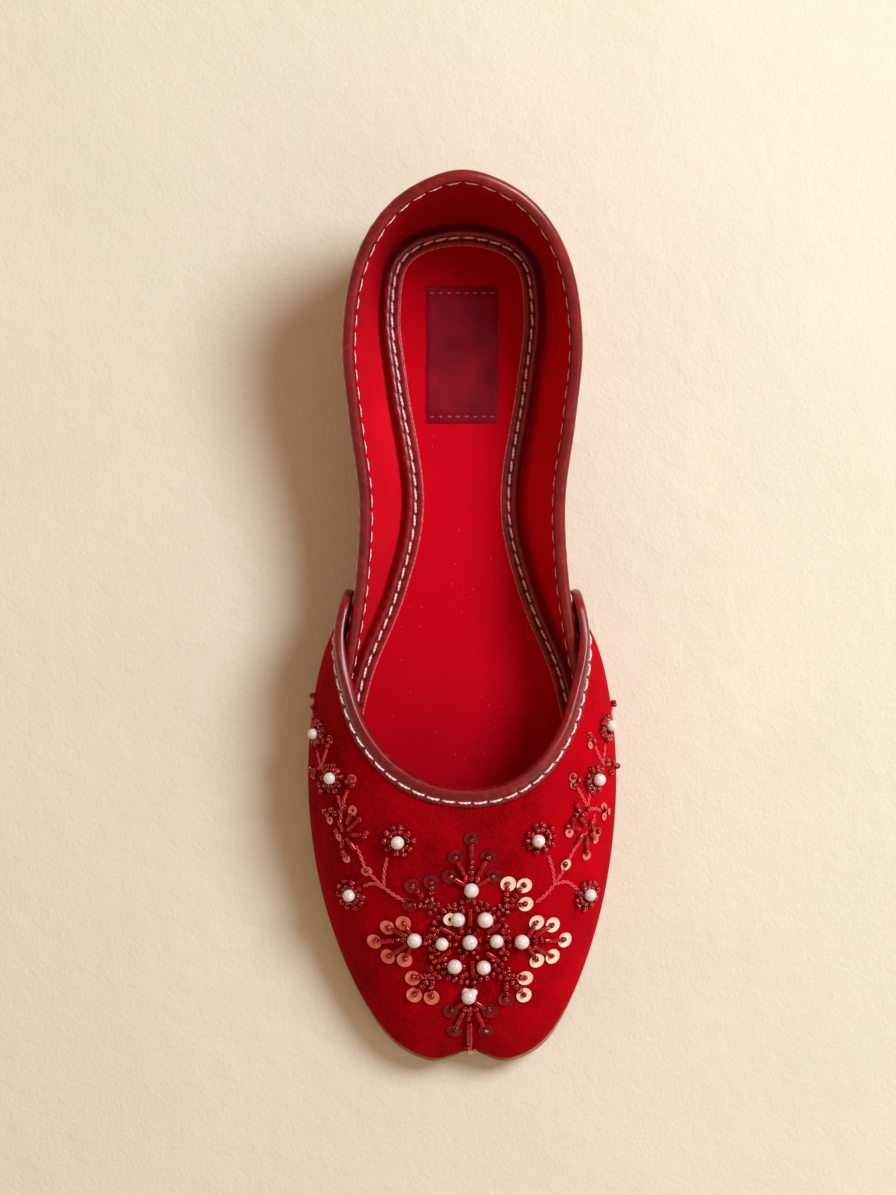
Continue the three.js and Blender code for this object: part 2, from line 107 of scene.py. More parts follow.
class Curve:
    """A centripetal Catmull-Rom curve, read by its share of the whole length."""

    def __init__(self, points, closed):
        p = np.asarray(points, float)
        if closed:
            before, start, after, beyond = (np.roll(p, k, 0) for k in (1, 0, -1, -2))
        else:
            p = np.vstack([2 * p[0] - p[1], p, 2 * p[-1] - p[-2]])
            before, start, after, beyond = p[:-3], p[1:-2], p[2:-1], p[3:]
        d0, d1, d2 = (np.sqrt(np.linalg.norm(b - a, axis=1))[:, None]
                      for a, b in ((before, start), (start, after), (after, beyond)))
        t1 = ((start - before) / d0 - (after - before) / (d0 + d1) + (after - start) / d1) * d1
        t2 = ((after - start) / d1 - (beyond - start) / (d1 + d2) + (beyond - after) / d2) * d1
        self.parts = (start, t1, 3 * (after - start) - 2 * t1 - t2, 2 * (start - after) + t1 + t2)
        self.count = len(start)
        self.t = np.linspace(0, 1, 2401)
        steps = np.linalg.norm(np.diff(self.at_t(self.t)[0], axis=0), axis=1)
        self.run = np.concatenate([[0], np.cumsum(steps)])
        self.length = self.run[-1]

    def at_t(self, t):
        place = np.clip(np.asarray(t, float), 0, 1) * self.count
        i = np.minimum(place.astype(int), self.count - 1)
        w = (place - i)[..., None]
        a, b, c, d = (part[i] for part in self.parts)
        return a + w * (b + w * (c + w * d)), b + w * (2 * c + 3 * w * d)

    def at(self, share):
        """Points and directions at these shares of the length."""
        return self.at_t(np.interp(np.asarray(share) * self.length, self.run, self.t))


def mirrored(rows, closed):
    right = [(r[1], r[0], r[2] if len(r) > 2 else 0.0) for r in rows]
    left = [(-x, y, z) for x, y, z in reversed(right[1:-1] if closed else right[1:])]
    return Curve(right + left if closed else left + right, closed)


sole_edge = mirrored(SOLE_EDGE, True)
collar = mirrored(COLLAR, False)
throat = mirrored(THROAT, False)


def column(rows, index, where):
    """A column of a table over its first one, smooth, and level at both ends."""
    table = np.array(rows, float)
    x, y = table[:, 0], table[:, index]
    slope = np.zeros(len(x))
    slope[1:-1] = (y[2:] - y[:-2]) / (x[2:] - x[:-2])
    i = np.clip(np.searchsorted(x, where) - 1, 0, len(x) - 2)
    step = x[i + 1] - x[i]
    f = np.clip((where - x[i]) / step, 0, 1)
    return (y[i] * (1 + 2 * f) * (1 - f) ** 2 + slope[i] * step * f * (1 - f) ** 2
            + y[i + 1] * f * f * (3 - 2 * f) - slope[i + 1] * step * f * f * (1 - f))


def solve(rising, low, high, rounds=18):
    """Where rising functions pass zero, for arrays of low and high ends."""
    for _ in range(rounds):
        middle = (low + high) / 2
        under = rising(middle) < 0
        low, high = np.where(under, middle, low), np.where(under, high, middle)
    return (low + high) / 2


def swing(along):
    return SWING * np.maximum(0, 1 - along / SWING_FROM) ** SWING_POWER


def cleft_at(x):
    return CLEFT_DEPTH * np.exp(-(((x - SWING) / CLEFT_WIDTH) ** 2))


def lift(along):
    """How high the underside of the sole stands above the ground, without the heel."""
    toe = SPRING_RISE * np.maximum(0, 1 - along / SPRING_FROM) ** 2
    return toe + HEEL_RISE * smooth(along, HEEL_FROM, HEEL_TO)


def sole_top(along):
    return SOLE_THICK + lift(along)


def at_toe(detail, along):
    """How deep a detail of the toe is at places along the shoe."""
    return detail["depth"] * smooth(-along, -detail["gone"], -detail["full"])


def edge_at(turn, inset):
    """Points `inset` inside the sole's edge, and the outward directions there."""
    point, tangent = sole_edge.at(np.mod(turn, 1))
    outward = unit(np.stack([-tangent[..., 1], tangent[..., 0], 0 * tangent[..., 0]], -1))
    point = point - outward * np.asarray(inset)[..., None]
    point[..., 0] += swing(point[..., 1])
    return point, outward


def turn_at(along):
    return float(solve(lambda t: along - sole_edge.at(t)[0][..., 1], np.float64(0), np.float64(.5)))


VAMP_TURN, QUARTER_TURN = turn_at(VAMP["back"]), turn_at(QUARTER["front"])


# ---- The surfaces of the upper ----------------------------------------------------------
def bezier(a, b, c, d, t):
    t = np.asarray(t)[..., None]
    s = 1 - t
    return s * s * s * a + 3 * s * s * t * b + 3 * s * t * t * c + t * t * t * d


def vamp_form(share, rise):
    share, rise = np.broadcast_arrays(np.asarray(share, float), np.asarray(rise, float))
    foot, outward = edge_at(0.5 - share * (0.5 - VAMP_TURN), VAMP["inset"])
    foot[..., 2] = sole_top(foot[..., 1]) + SIT
    top = throat.at((share * (0.45 + 0.55 * np.abs(share)) + 1) / 2)[0]
    top[..., 0] += SWING * (1 - np.abs(top[..., 0]) / THROAT[-1][1])
    level = foot - top
    level[..., 2] = 0
    bulge, shoulder, crown, droop = (column(VAMP_RISE, k, np.abs(share)) for k in (1, 2, 3, 4))
    low = foot + outward * bulge[..., None]
    low[..., 2] += shoulder
    high = top + unit(level) * crown[..., None]
    high[..., 2] -= droop
    return bezier(foot, low, high, top, rise)


def vamp_face(share, rise):
    """The vamp's outer face: its form, the cleft of the toe and the small pleats where the
    velvet is drawn round the edge of the toe."""
    point = vamp_form(share, rise)
    fade = np.maximum(0, 1 - np.asarray(rise))
    point[..., 1] += cleft_at(point[..., 0]) * fade ** CLEFT_FADE
    off_middle = point[..., 0] - SWING
    crease = TOE_CREASE["depth"] * np.exp(-((off_middle / TOE_CREASE["width"]) ** 2))
    waves = np.sin(np.asarray(share) * TOE_PLEATS["waves"])
    pleats = waves * at_toe(TOE_PLEATS, point[..., 1]) * fade ** TOE_PLEATS["fade"]
    tuck = at_toe(TOE_TUCK, point[..., 1]) * fade ** TOE_TUCK["fade"]
    point[..., 2] -= crease * fade ** TOE_CREASE["fade"] + pleats
    point[..., 0] -= tuck * 0.35 * np.clip(off_middle / 16, -1, 1)
    off_middle = np.abs(point[..., 0] - SWING)
    point[..., 1] += tuck * (1 - 0.4 * np.clip(off_middle / 20, 0, 1))
    return point


def vamp_side(side, along, z):
    """x of the middle of the vamp's wall at places on its side."""
    def reach(share):
        rise = solve(lambda r: vamp_form(side * share, r)[..., 2] - z, 0 * z, 0 * z + 1, 14)
        return vamp_form(side * share, rise)
    share = solve(lambda s: reach(s)[..., 1] - along, 0 * z + 0.3, 0 * z + 1, 14)
    return reach(share)[..., 0] - side * VAMP["wall"] / 2


def cell_of(values, line):
    """The cells of an even line that values lie in, and how far through them they are."""
    place = np.clip((values - line[0]) / (line[1] - line[0]), 0, len(line) - 1.001)
    cell = place.astype(int)
    return cell, place - cell


class SideTable:
    """vamp_side() worked out once over a close grid of places, and read between them."""

    def __init__(self):
        self.along = np.linspace(QUARTER["front"] - 3, QUARTER["leaves"] + 1, 73)
        self.z = np.linspace(0, 44, 111)
        y, z = np.meshgrid(self.along, self.z, indexing="ij")
        self.x = {side: vamp_side(side, y, z) for side in (-1.0, 1.0)}

    def at(self, side, along, z):
        (i, a), (j, b) = cell_of(along, self.along), cell_of(z, self.z)
        x = np.zeros_like(along)
        for which, table in self.x.items():
            read = ((1 - a) * ((1 - b) * table[i, j] + b * table[i, j + 1])
                    + a * ((1 - b) * table[i + 1, j] + b * table[i + 1, j + 1]))
            x = np.where(side == which, read, x)
        return x


side_table = SideTable()


def quarter_face(share, rise):
    share, rise = np.broadcast_arrays(np.asarray(share, float), np.asarray(rise, float))
    side = np.where(share < 0, -1.0, 1.0)
    foot, outward = edge_at(share * QUARTER_TURN, QUARTER["inset"])
    foot[..., 2] = sole_top(foot[..., 1]) + SIT
    top = collar.at((share + 1) / 2)[0]
    flare = np.hypot(top[..., 0] - foot[..., 0], top[..., 1] - foot[..., 1])
    height = top[..., 2] - foot[..., 2]
    low = foot + outward * (0.45 * flare + QUARTER["bulge"])[..., None]
    low[..., 2] += 0.3 * height
    high = top.copy()
    high[..., 2] -= 0.35 * height
    point = bezier(foot, low, high, top, rise)
    sewn = 1 - smooth(point[..., 1], QUARTER["meets"], QUARTER["leaves"])
    at = sewn > 0
    if at.any():
        x = side_table.at(side[at], point[at][:, 1], point[at][:, 2])
        point[at, 0] += sewn[at] * (x - point[at][:, 0])
    return point


def vamp_top(share):
    """The rise of the vamp's top edge: near the back edge of a wing it drops in a round corner."""
    back = (1 - np.abs(share)) * 0.5 * sole_edge.length * (1 - 2 * VAMP_TURN)
    into = np.maximum(0, VAMP["corner"] - back)
    drop = VAMP["corner"] - np.sqrt(np.maximum(0, VAMP["corner"] ** 2 - into ** 2))
    return 1 - drop / VAMP["wing"]


STEP = 2e-3  # in share and rise, for slopes


def surface_frame(surface, turned, share, rise):
    """Steps across and up a surface, and its outward normal."""
    s0, s1 = np.maximum(-1, share - STEP), np.minimum(1, share + STEP)
    r0, r1 = np.maximum(0, rise - STEP), np.minimum(1, rise + STEP)
    across = (surface(s1, rise) - surface(s0, rise)) / (s1 - s0)[..., None]
    up = (surface(share, r1) - surface(share, r0)) / (r1 - r0)[..., None]
    return across, up, unit(np.cross(across, up)) * turned


VAMP_SIDE, QUARTER_SIDE = 1, -1  # +1 where share cross rise points out of the shoe


# ---- Making meshes ----------------------------------------------------------------------
def piece(name, shape, material, replaces=(), sharp=40):
    """A mesh from (points in millimetres, faces), riding on the shoe."""
    points, faces = shape
    mesh = bpy.data.meshes.new(name)
    mesh.from_pydata(to_frame(points).tolist(), [], [list(map(int, f)) for f in faces])
    mesh.materials.append(material)
    mesh.validate()
    mesh.shade_smooth()
    mesh.set_sharp_from_angle(angle=math.radians(sharp))
    obj = bpy.data.objects.new(name, mesh)
    bpy.context.scene.collection.objects.link(obj)
    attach(obj, "root")
    if replaces:
        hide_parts(*replaces)


def grid_faces(columns, rows, ring_columns=False, ring_rows=False):
    """Quads of a grid of points, counted column by column."""
    i, j = np.meshgrid(np.arange(columns - (not ring_columns)), np.arange(rows - (not ring_rows)),
                       indexing="ij")
    i1, j1 = (i + 1) % columns, (j + 1) % rows
    return np.stack([i * rows + j, i1 * rows + j, i1 * rows + j1, i * rows + j1], -1).reshape(-1, 4)


def sheet(outer, inner):
    """Two grids of points, (columns, rows, 3), as one sheet closed round its rim."""
    columns, rows = outer.shape[:2]
    front = grid_faces(columns, rows)
    count = columns * rows
    # The rim follows the border of the grid, whichever way round it runs.
    index = np.arange(count).reshape(columns, rows)
    border = np.concatenate([index[:, 0], index[-1, 1:], index[-2::-1, -1], index[0, -2:0:-1]])
    after = np.roll(border, -1)
    rim = np.stack([after, border, border + count, after + count], -1)
    points = np.concatenate([outer.reshape(-1, 3), inner.reshape(-1, 3)])
    return points, np.concatenate([front, front[:, ::-1] + count, rim])


def shell(surface, form, turned, shares, rises, outer, inner):
    """A sheet between two depths under a surface: rises is a grid of shares by rises."""
    share = np.broadcast_to(np.asarray(shares)[:, None], rises.shape)
    normal = surface_frame(form, turned, share, rises)[2]
    face = surface(share, rises)
    points, faces = sheet(face - normal * outer, face - normal * inner)
    return points, faces if turned > 0 else faces[:, ::-1]


def rings_mesh(rings, closed):
    """A bar through rings of points (rings, corners, 3), closed or capped."""
    count, corners = rings.shape[:2]
    faces = [list(f) for f in grid_faces(count, corners, closed, True)[:, ::-1]]
    if not closed:
        faces += [list(range(corners)), [(count - 1) * corners + k for k in range(corners)][::-1]]
    return rings.reshape(-1, 3), faces


def join(parts):
    """Several (points, faces) as one."""
    points, faces, at = [], [], 0
    for p, f in parts:
        points.append(p)
        faces += [[v + at for v in face] for face in f]
        at += len(p)
    return np.concatenate(points), faces


def copies(points, faces, origins, axes, scales):
    """One mesh of copies: axes are (n, 3, 3), whose rows are each copy's x, y and z."""
    scaled = points[None] * scales[:, None]
    placed = np.einsum("nvk,nkc->nvc", scaled, axes) + origins[:, None]
    shift = np.arange(len(origins))[:, None, None] * len(points)
    return placed.reshape(-1, 3), (faces[None] + shift).reshape(-1, faces.shape[1])


def axes_from(along, normal):
    """Right-handed rows: x the direction, z as near the normal as it can be."""
    x = unit(along)
    y = unit(np.cross(normal, x))
    return np.stack([x, y, np.cross(x, y)], -2)


def rounded(corners, per_side=4):
    """A closed outline drawn smoothly through corner points (in, off)."""
    loop = Curve([(a, b, 0) for a, b in corners], True)
    return loop.at_t(np.linspace(0, 1, len(corners) * per_side, endpoint=False))[0][:, :2]


# ---- Materials --------------------------------------------------------------------------
def material(name, base, roughness, **sockets):
    """A material whose even values sit on the shader's own sockets."""
    made = bpy.data.materials.new(name)
    made.use_nodes = True
    shader = made.node_tree.nodes["Principled BSDF"]
    shader.inputs["Base Color"].default_value = (*base, 1)
    shader.inputs["Roughness"].default_value = roughness
    for socket, value in sockets.items():
        shader.inputs[socket.replace("_", " ")].default_value = value
    return made


class Nodes:
    """Short names for the nodes that the materials here are made of."""

    def __init__(self, made):
        self.tree = made.node_tree
        self.shader = self.tree.nodes["Principled BSDF"]
        self.place = self.add("ShaderNodeTexCoord").outputs["Object"]

    def add(self, kind, **settings):
        node = self.tree.nodes.new(kind)
        for key, value in settings.items():
            setattr(node, key, value)
        return node

    def put(self, value, socket):
        if isinstance(value, bpy.types.NodeSocket):
            self.tree.links.new(value, socket)
        else:
            socket.default_value = value

    def noise(self, size_mm, detail, stretch=(1, 1, 1), distortion=0.0):
        """Noise whose features are about size_mm across, stretched along the axes."""
        mapping = self.add("ShaderNodeMapping")
        self.put(self.place, mapping.inputs["Vector"])
        mapping.inputs["Scale"].default_value = [1000 / size_mm / s for s in stretch]
        node = self.add("ShaderNodeTexNoise")
        self.put(mapping.outputs[0], node.inputs["Vector"])
        node.inputs["Scale"].default_value = 1.0
        node.inputs["Detail"].default_value = detail
        node.inputs["Roughness"].default_value = 0.55
        node.inputs["Distortion"].default_value = distortion
        return node.outputs["Fac"]

    def along(self, low, high, to_low, to_high):
        """A value that changes from one end of a stretch of the shoe to the other."""
        return self.slope("Y", HEEL_BACK + low, HEEL_BACK + high, to_low, to_high)

    def across(self, low, high, to_low, to_high):
        """A value that changes from one side of the shoe to the other."""
        return self.slope("X", X_MIDDLE + low, X_MIDDLE + high, to_low, to_high)

    def slope(self, axis, low, high, to_low, to_high):
        """A value that changes along an axis of the frame, between two places in mm."""
        apart = self.add("ShaderNodeSeparateXYZ")
        self.put(self.place, apart.inputs[0])
        return self.span(apart.outputs[axis], low / 1000, high / 1000, to_low, to_high)

    def cells(self, size_mm, feature="DISTANCE_TO_EDGE"):
        """Distances in a net of cells about size_mm across: to their edges, or from their middles."""
        node = self.add("ShaderNodeTexVoronoi", feature=feature)
        self.put(self.place, node.inputs["Vector"])
        node.inputs["Scale"].default_value = 1000 / size_mm
        return node.outputs["Distance"]

    def ramp(self, value, *stops):
        """Colours at positions over a value: stops are (position, (r, g, b))."""
        node = self.add("ShaderNodeValToRGB")
        while len(node.color_ramp.elements) < len(stops):
            node.color_ramp.elements.new(0.5)
        for element, (position, colour) in zip(node.color_ramp.elements, stops):
            element.position = position
            element.color = (*colour, 1)
        self.put(value, node.inputs["Fac"])
        return node.outputs["Color"]

    def span(self, value, low, high, to_low=0.0, to_high=1.0):
        """A value from low to high, turned into one from to_low to to_high."""
        node = self.add("ShaderNodeMapRange")
        ends = {"From Min": low, "From Max": high, "To Min": to_low, "To Max": to_high}
        for key, number in ends.items():
            node.inputs[key].default_value = number
        self.put(value, node.inputs["Value"])
        return node.outputs["Result"]

    def product(self, a, b):
        node = self.add("ShaderNodeMath", operation="MULTIPLY")
        self.put(a, node.inputs[0])
        self.put(b, node.inputs[1])
        return node.outputs[0]

    def mix(self, share, a, b):
        """Colour b over colour a, by a share from 0 to 1."""
        node = self.add("ShaderNodeMix", data_type="RGBA")
        self.put(share, node.inputs["Factor"])
        for socket, value in (("A", a), ("B", b)):
            target = next(i for i in node.inputs if i.name == socket and i.type == "RGBA")
            self.put((*value, 1) if isinstance(value, tuple) else value, target)
        return next(o for o in node.outputs if o.type == "RGBA")

    def bump(self, height, depth_mm, strength, below=None):
        """A surface normal from a height, over the normal of another bump below it."""
        node = self.add("ShaderNodeBump")
        node.inputs["Strength"].default_value = strength
        node.inputs["Distance"].default_value = depth_mm / 1000
        self.put(height, node.inputs["Height"])
        if below is not None:
            self.put(below, node.inputs["Normal"])
        return node.outputs["Normal"]

    def finish(self, colour=None, rough=None, normal=None):
        for value, socket in ((colour, "Base Color"), (rough, "Roughness"), (normal, "Normal")):
            if value is not None:
                self.put(value, self.shader.inputs[socket])


def velvet_material():
    made = material("red_velvet", (0.40, 0.0004, 0.006), 0.9, Sheen_Weight=0.12,
                    Sheen_Roughness=0.5, Sheen_Tint=(1.0, 0.03, 0.05, 1), Specular_IOR_Level=0.03)
    n = Nodes(made)
    lay = n.noise(11, 3, stretch=(1, 2.2, 1))  # where the pile leans one way or the other
    grain = n.noise(0.7, 2, stretch=(1, 1.6, 1))
    tone = n.ramp(lay, (0.34, (0.22, 0.0001, 0.002)), (0.66, (0.46, 0.0003, 0.006)))
    # Painted shade and light across the vamp, and not on the quarter: darker on the left, away from the
    # lamp, and brighter on the right, which faces it.
    on_vamp = n.along(118, 136, 1, 0)
    tone = n.mix(n.product(on_vamp, n.across(-36, 30, 0.45, 0.12)), tone, (0.10, 0.0, 0.001))
    tone = n.mix(n.product(on_vamp, n.across(14, 38, 0, 0.35)), tone, (0.70, 0.0004, 0.012))
    speck = n.span(grain, 0.42, 0.72, 0.0, 0.45)
    n.finish(colour=n.mix(speck, tone, (0.54, 0.001, 0.010)),
             normal=n.bump(grain, 0.14, 0.7, n.bump(lay, 0.25, 0.3)))
    return made


def lining_material():
    made = material("red_lining", (0.60, 0.003, 0.014), 0.8, Sheen_Weight=0.08,
                    Sheen_Roughness=0.5, Sheen_Tint=(1.0, 0.05, 0.08, 1), Specular_IOR_Level=0.05)
    n = Nodes(made)
    drift = n.noise(22, 2)
    weave = n.noise(0.4, 2, stretch=(1, 1, 2.5))
    tone = n.ramp(drift, (0.3, (0.54, 0.002, 0.011)), (0.7, (0.68, 0.004, 0.018)))
    # Painted shade: the lining grows darker towards the back, inside the heel wall.
    n.finish(colour=n.mix(n.along(205, 245, 0, 0.55), tone, (0.20, 0.0, 0.003)),
             normal=n.bump(weave, 0.06, 0.5, n.bump(drift, 1.2, 0.5)))
    return made


def felt_material():
    made = material("insole_felt", (0.5, 0.0006, 0.011), 0.9, Sheen_Weight=0.06,
                    Sheen_Roughness=0.5, Sheen_Tint=(1.0, 0.04, 0.1, 1), Specular_IOR_Level=0.04)
    n = Nodes(made)
    fibres = n.noise(0.5, 3, stretch=(1, 1.8, 1))
    drift = n.noise(35, 2)
    tone = n.ramp(drift, (0.3, (0.50, 0.0004, 0.009)), (0.7, (0.60, 0.0008, 0.013)))
    tone = n.mix(n.span(fibres, 0.4, 0.8, 0, 0.35), tone, (0.68, 0.003, 0.022))
    # Painted shade towards both ends: under the vamp at the toe, and inside the heel.
    tone = n.mix(n.along(50, 125, 0.8, 0), tone, (0.22, 0.0, 0.002))  # dimmer towards both ends
    tone = n.mix(n.along(190, 236, 0, 0.42), tone, (0.22, 0.0, 0.002))
    lint = n.span(n.cells(3.2, "F1"), 0.03, 0.055, 0.6, 0)  # a few pale specks of lint
    n.finish(colour=n.mix(lint, tone, (0.80, 0.16, 0.16)), normal=n.bump(fibres, 0.15, 0.6))
    return made


def binding_material():
    made = material("maroon_binding", (0.24, 0.010, 0.013), 0.35, Coat_Weight=1.0,
                    Coat_Roughness=0.32, Specular_IOR_Level=0.04)
    n = Nodes(made)
    drift = n.noise(9, 3)
    grain = n.span(n.cells(0.5), 0.0, 0.12)
    worn = n.noise(2.2, 4)
    tone = n.ramp(drift, (0.3, (0.14, 0.0002, 0.005)), (0.7, (0.26, 0.001, 0.007)))
    tone = n.mix(n.span(worn, 0.50, 0.75, 0, 0.55), tone, (0.42, 0.024, 0.020))
    n.finish(colour=tone, rough=n.span(worn, 0.3, 0.7, 0.25, 0.38),
             normal=n.bump(grain, 0.07, 0.75, n.bump(worn, 0.12, 0.5)))
    return made


def cut_edge_material():
    made = material("binding_cut_edge", (0.70, 0.10, 0.10), 0.6, Specular_IOR_Level=0.2)
    n = Nodes(made)
    fray = n.noise(0.6, 3)
    n.finish(colour=n.ramp(fray, (0.35, (0.50, 0.03, 0.04)), (0.65, (0.85, 0.17, 0.17))),
             normal=n.bump(fray, 0.1, 0.6))
    return made


def sole_material():
    made = material("sole_leather", (0.40, 0.22, 0.10), 0.55, Specular_IOR_Level=0.35)
    n = Nodes(made)
    fibre = n.noise(1.0, 4, stretch=(3, 3, 0.5))
    drift = n.noise(14, 4)
    tone = n.ramp(drift, (0.3, (0.33, 0.17, 0.075)), (0.7, (0.47, 0.27, 0.135)))
    tone = n.mix(n.span(fibre, 0.45, 0.75, 0, 0.6), tone, (0.24, 0.115, 0.05))
    scuffs = n.span(n.noise(1.6, 5, stretch=(5, 1, 1), distortion=0.6), 0.62, 0.72)
    n.finish(colour=n.mix(scuffs, tone, (0.52, 0.34, 0.19)),
             rough=n.span(drift, 0.3, 0.7, 0.5, 0.7), normal=n.bump(fibre, 0.12, 0.5))
    return made


def thread_material(name, base, shade):
    made = material(name, base, 0.55, Sheen_Weight=0.2, Specular_IOR_Level=0.4)
    n = Nodes(made)
    strands = n.noise(0.35, 2)
    n.finish(colour=n.ramp(strands, (0.3, shade), (0.65, base)), normal=n.bump(strands, 0.08, 0.6))
    return made


WAVES = 2 * math.pi / 20  # the scale of a wave texture that makes one wave a metre


def label_material():
    made = material("woven_label", (0.14, 0.004, 0.014), 0.6, Sheen_Weight=0.08,
                    Sheen_Roughness=0.4, Specular_IOR_Level=0.1, Sheen_Tint=(1.0, 0.2, 0.3, 1))
    n = Nodes(made)
    warp = n.add("ShaderNodeTexWave", wave_type="BANDS", bands_direction="DIAGONAL")
    weft = n.add("ShaderNodeTexWave", wave_type="BANDS", bands_direction="Y")
    for wave, pitch in ((warp, 0.9), (weft, 0.7)):
        n.put(n.place, wave.inputs["Vector"])
        wave.inputs["Scale"].default_value = WAVES * 1000 / pitch
        wave.inputs["Distortion"].default_value = 0.4
    cloth = n.product(warp.outputs["Fac"], weft.outputs["Fac"])
    drift = n.noise(11, 2)
    tone = n.ramp(drift, (0.3, (0.15, 0.001, 0.008)), (0.7, (0.25, 0.004, 0.015)))
    n.finish(colour=n.mix(n.span(cloth, 0.2, 0.9, 0, 0.3), tone, (0.32, 0.008, 0.025)),
             normal=n.bump(cloth, 0.05, 0.6))
    return made


def pearl_material():
    made = material("pearl", (0.74, 0.66, 0.64), 0.25, Coat_Weight=0.5, Coat_Roughness=0.12,
                    Specular_IOR_Level=0.6)
    n = Nodes(made)
    skin = n.noise(0.8, 2)
    n.finish(colour=n.ramp(skin, (0.30, (0.62, 0.50, 0.49)), (0.62, (0.84, 0.78, 0.77))),
             normal=n.bump(skin, 0.05, 0.5))
    return made


def glass_material(name, deep, bright, metallic, gleam, painted_glints):
    """Red glass. `gleam` is how white its shine is, and `painted_glints` how much of each bead is painted
    with pale glints of light."""
    made = material(name, bright, 0.09, Specular_IOR_Level=1.0, Metallic=metallic,
                    Specular_Tint=(1.0, gleam, gleam, 1), Coat_Weight=2 * metallic,
                    Coat_Roughness=0.18)
    n = Nodes(made)
    tone = n.ramp(n.noise(1.2, 2), (0.38, deep), (0.62, bright))
    # Painted highlights: small pale-pink glints of light spotted over the glass.
    painted_glint = n.span(n.noise(0.55, 1), 0.70 - painted_glints, 0.76 - painted_glints)
    n.finish(colour=n.mix(painted_glint, tone, (0.95, 0.24, 0.27)))
    return made


def foil_material(name, dark, bright, roughness, metallic):
    made = material(name, bright, roughness, Metallic=metallic, Specular_IOR_Level=0.6)
    n = Nodes(made)
    n.finish(colour=n.ramp(n.noise(2.4, 3), (0.3, dark), (0.6, bright)),
             normal=n.bump(n.noise(1.2, 2), 0.03, 0.5))
    return made


VELVET, LINING, FELT = velvet_material(), lining_material(), felt_material()
BINDING, CUT_EDGE, SOLE = binding_material(), cut_edge_material(), sole_material()
LABEL, PEARL_COAT = label_material(), pearl_material()
WHITE_THREAD = thread_material("pale_thread", (0.95, 0.83, 0.83), (0.76, 0.54, 0.55))
CORAL_THREAD = thread_material("coral_thread", (0.85, 0.08, 0.11), (0.55, 0.02, 0.04))
RED_THREAD = thread_material("red_thread", (0.80, 0.04, 0.07), (0.48, 0.010, 0.02))
RUBY = glass_material("ruby_glass", (0.08, 0.0, 0.001), (0.40, 0.0002, 0.005), 0.0, 0.28, 0.08)
BUGLE_GLASS = glass_material("bugle_glass", (0.20, 0.0, 0.003), (0.52, 0.001, 0.008), 0.3, 0.15, -0.3)
# One sequin foil in three colours, with reflections painted in: pale where it mirrors the lamp,
# copper-red where it mirrors the red velvet, dark wine where it mirrors the dark.
FOIL_PAINTED_LAMP_REFLECTION = foil_material("foil_painted_lamp_reflection", (0.98, 0.70, 0.50), (1.0, 0.86, 0.70), 0.5, 0.15)
FOIL_PAINTED_RED_REFLECTION = foil_material("foil_painted_red_reflection", (0.72, 0.12, 0.09), (0.95, 0.27, 0.21), 0.42, 0.3)
FOIL_PAINTED_DARK_REFLECTION = foil_material("foil_painted_dark_reflection", (0.13, 0.003, 0.008), (0.30, 0.02, 0.03), 0.18, 0.6)
GOLD = foil_material("gold", (0.70, 0.42, 0.16), (0.98, 0.74, 0.42), 0.3, 0.7)


# ---- The sole ---------------------------------------------------------------------------
CROWDING = 0.6  # of points towards the heel and the toe, from 0 to 1


def spread_turns(count):
    """Turns round the sole's edge, closer together round the heel and toe."""
    even = np.arange(count) / count
    return even - CROWDING * np.sin(4 * np.pi * even) / (4 * np.pi)


def edge_loop(turns, inset, cleft, height):
    """A loop inside the sole's edge at height(along), with this share of the toe's cleft."""
    point, _ = edge_at(turns, inset)
    point[..., 1] += cleft * cleft_at(point[..., 0]) * np.clip(1 - point[..., 1] / CLEFT_RUN, 0, 1)
    point[:, 2] = height(point[:, 1])
    return point


def lid(loop, height, across, cleft, turned):
    """Fills a loop of points (an even number, from the heel round) with rows from side to side.
    Returns the points inside and faces that count on from the loop's own points."""
    half = len(loop) // 2
    inner = []
    for k in range(1, half):
        right, left = loop[k], loop[-k]
        f = np.linspace(0, 1, across + 2)[1:-1]
        row = left + (right - left) * f[:, None]
        fade = np.clip(1 - row[:, 1] / CLEFT_RUN, 0, 1)
        row[:, 1] += cleft * (cleft_at(row[:, 0]) - cleft_at(right[0])) * fade
        row[:, 2] = height(row[:, 0], row[:, 1])
        inner.append(row)
    start = len(loop)
    rows = [[(-k) % len(loop), *range(start + (k - 1) * across, start + k * across), k]
            for k in range(1, half)]
    faces = []
    for k in range(len(rows) - 1):
        a, b = rows[k], rows[k + 1]
        faces += [[a[i], a[i + 1], b[i + 1], b[i]] for i in range(across + 1)]
    faces += [[0, rows[0][i + 1], rows[0][i]] for i in range(across + 1)]
    faces += [[half, rows[-1][i], rows[-1][i + 1]] for i in range(across + 1)]
    if turned:
        faces = [f[::-1] for f in faces]
    return np.concatenate(inner), faces


def loops_solid(loops, bottom, top, across, cleft):
    """Loops of points from the underside up to the top, with a lid on each end."""
    count = len(loops[0])
    points = [np.concatenate(loops)]
    faces = [list(f) for f in grid_faces(len(loops), count, False, True)]
    at = len(loops) * count
    for loop, height, turned, base in ((loops[0], bottom, False, 0),
                                       (loops[-1], top, True, (len(loops) - 1) * count)):
        inner, lid_faces = lid(loop, height, across, cleft, turned)
        faces += [[v + base if v < count else v - count + at for v in f] for f in lid_faces]
        points.append(inner)
        at += len(inner)
    return np.concatenate(points), faces


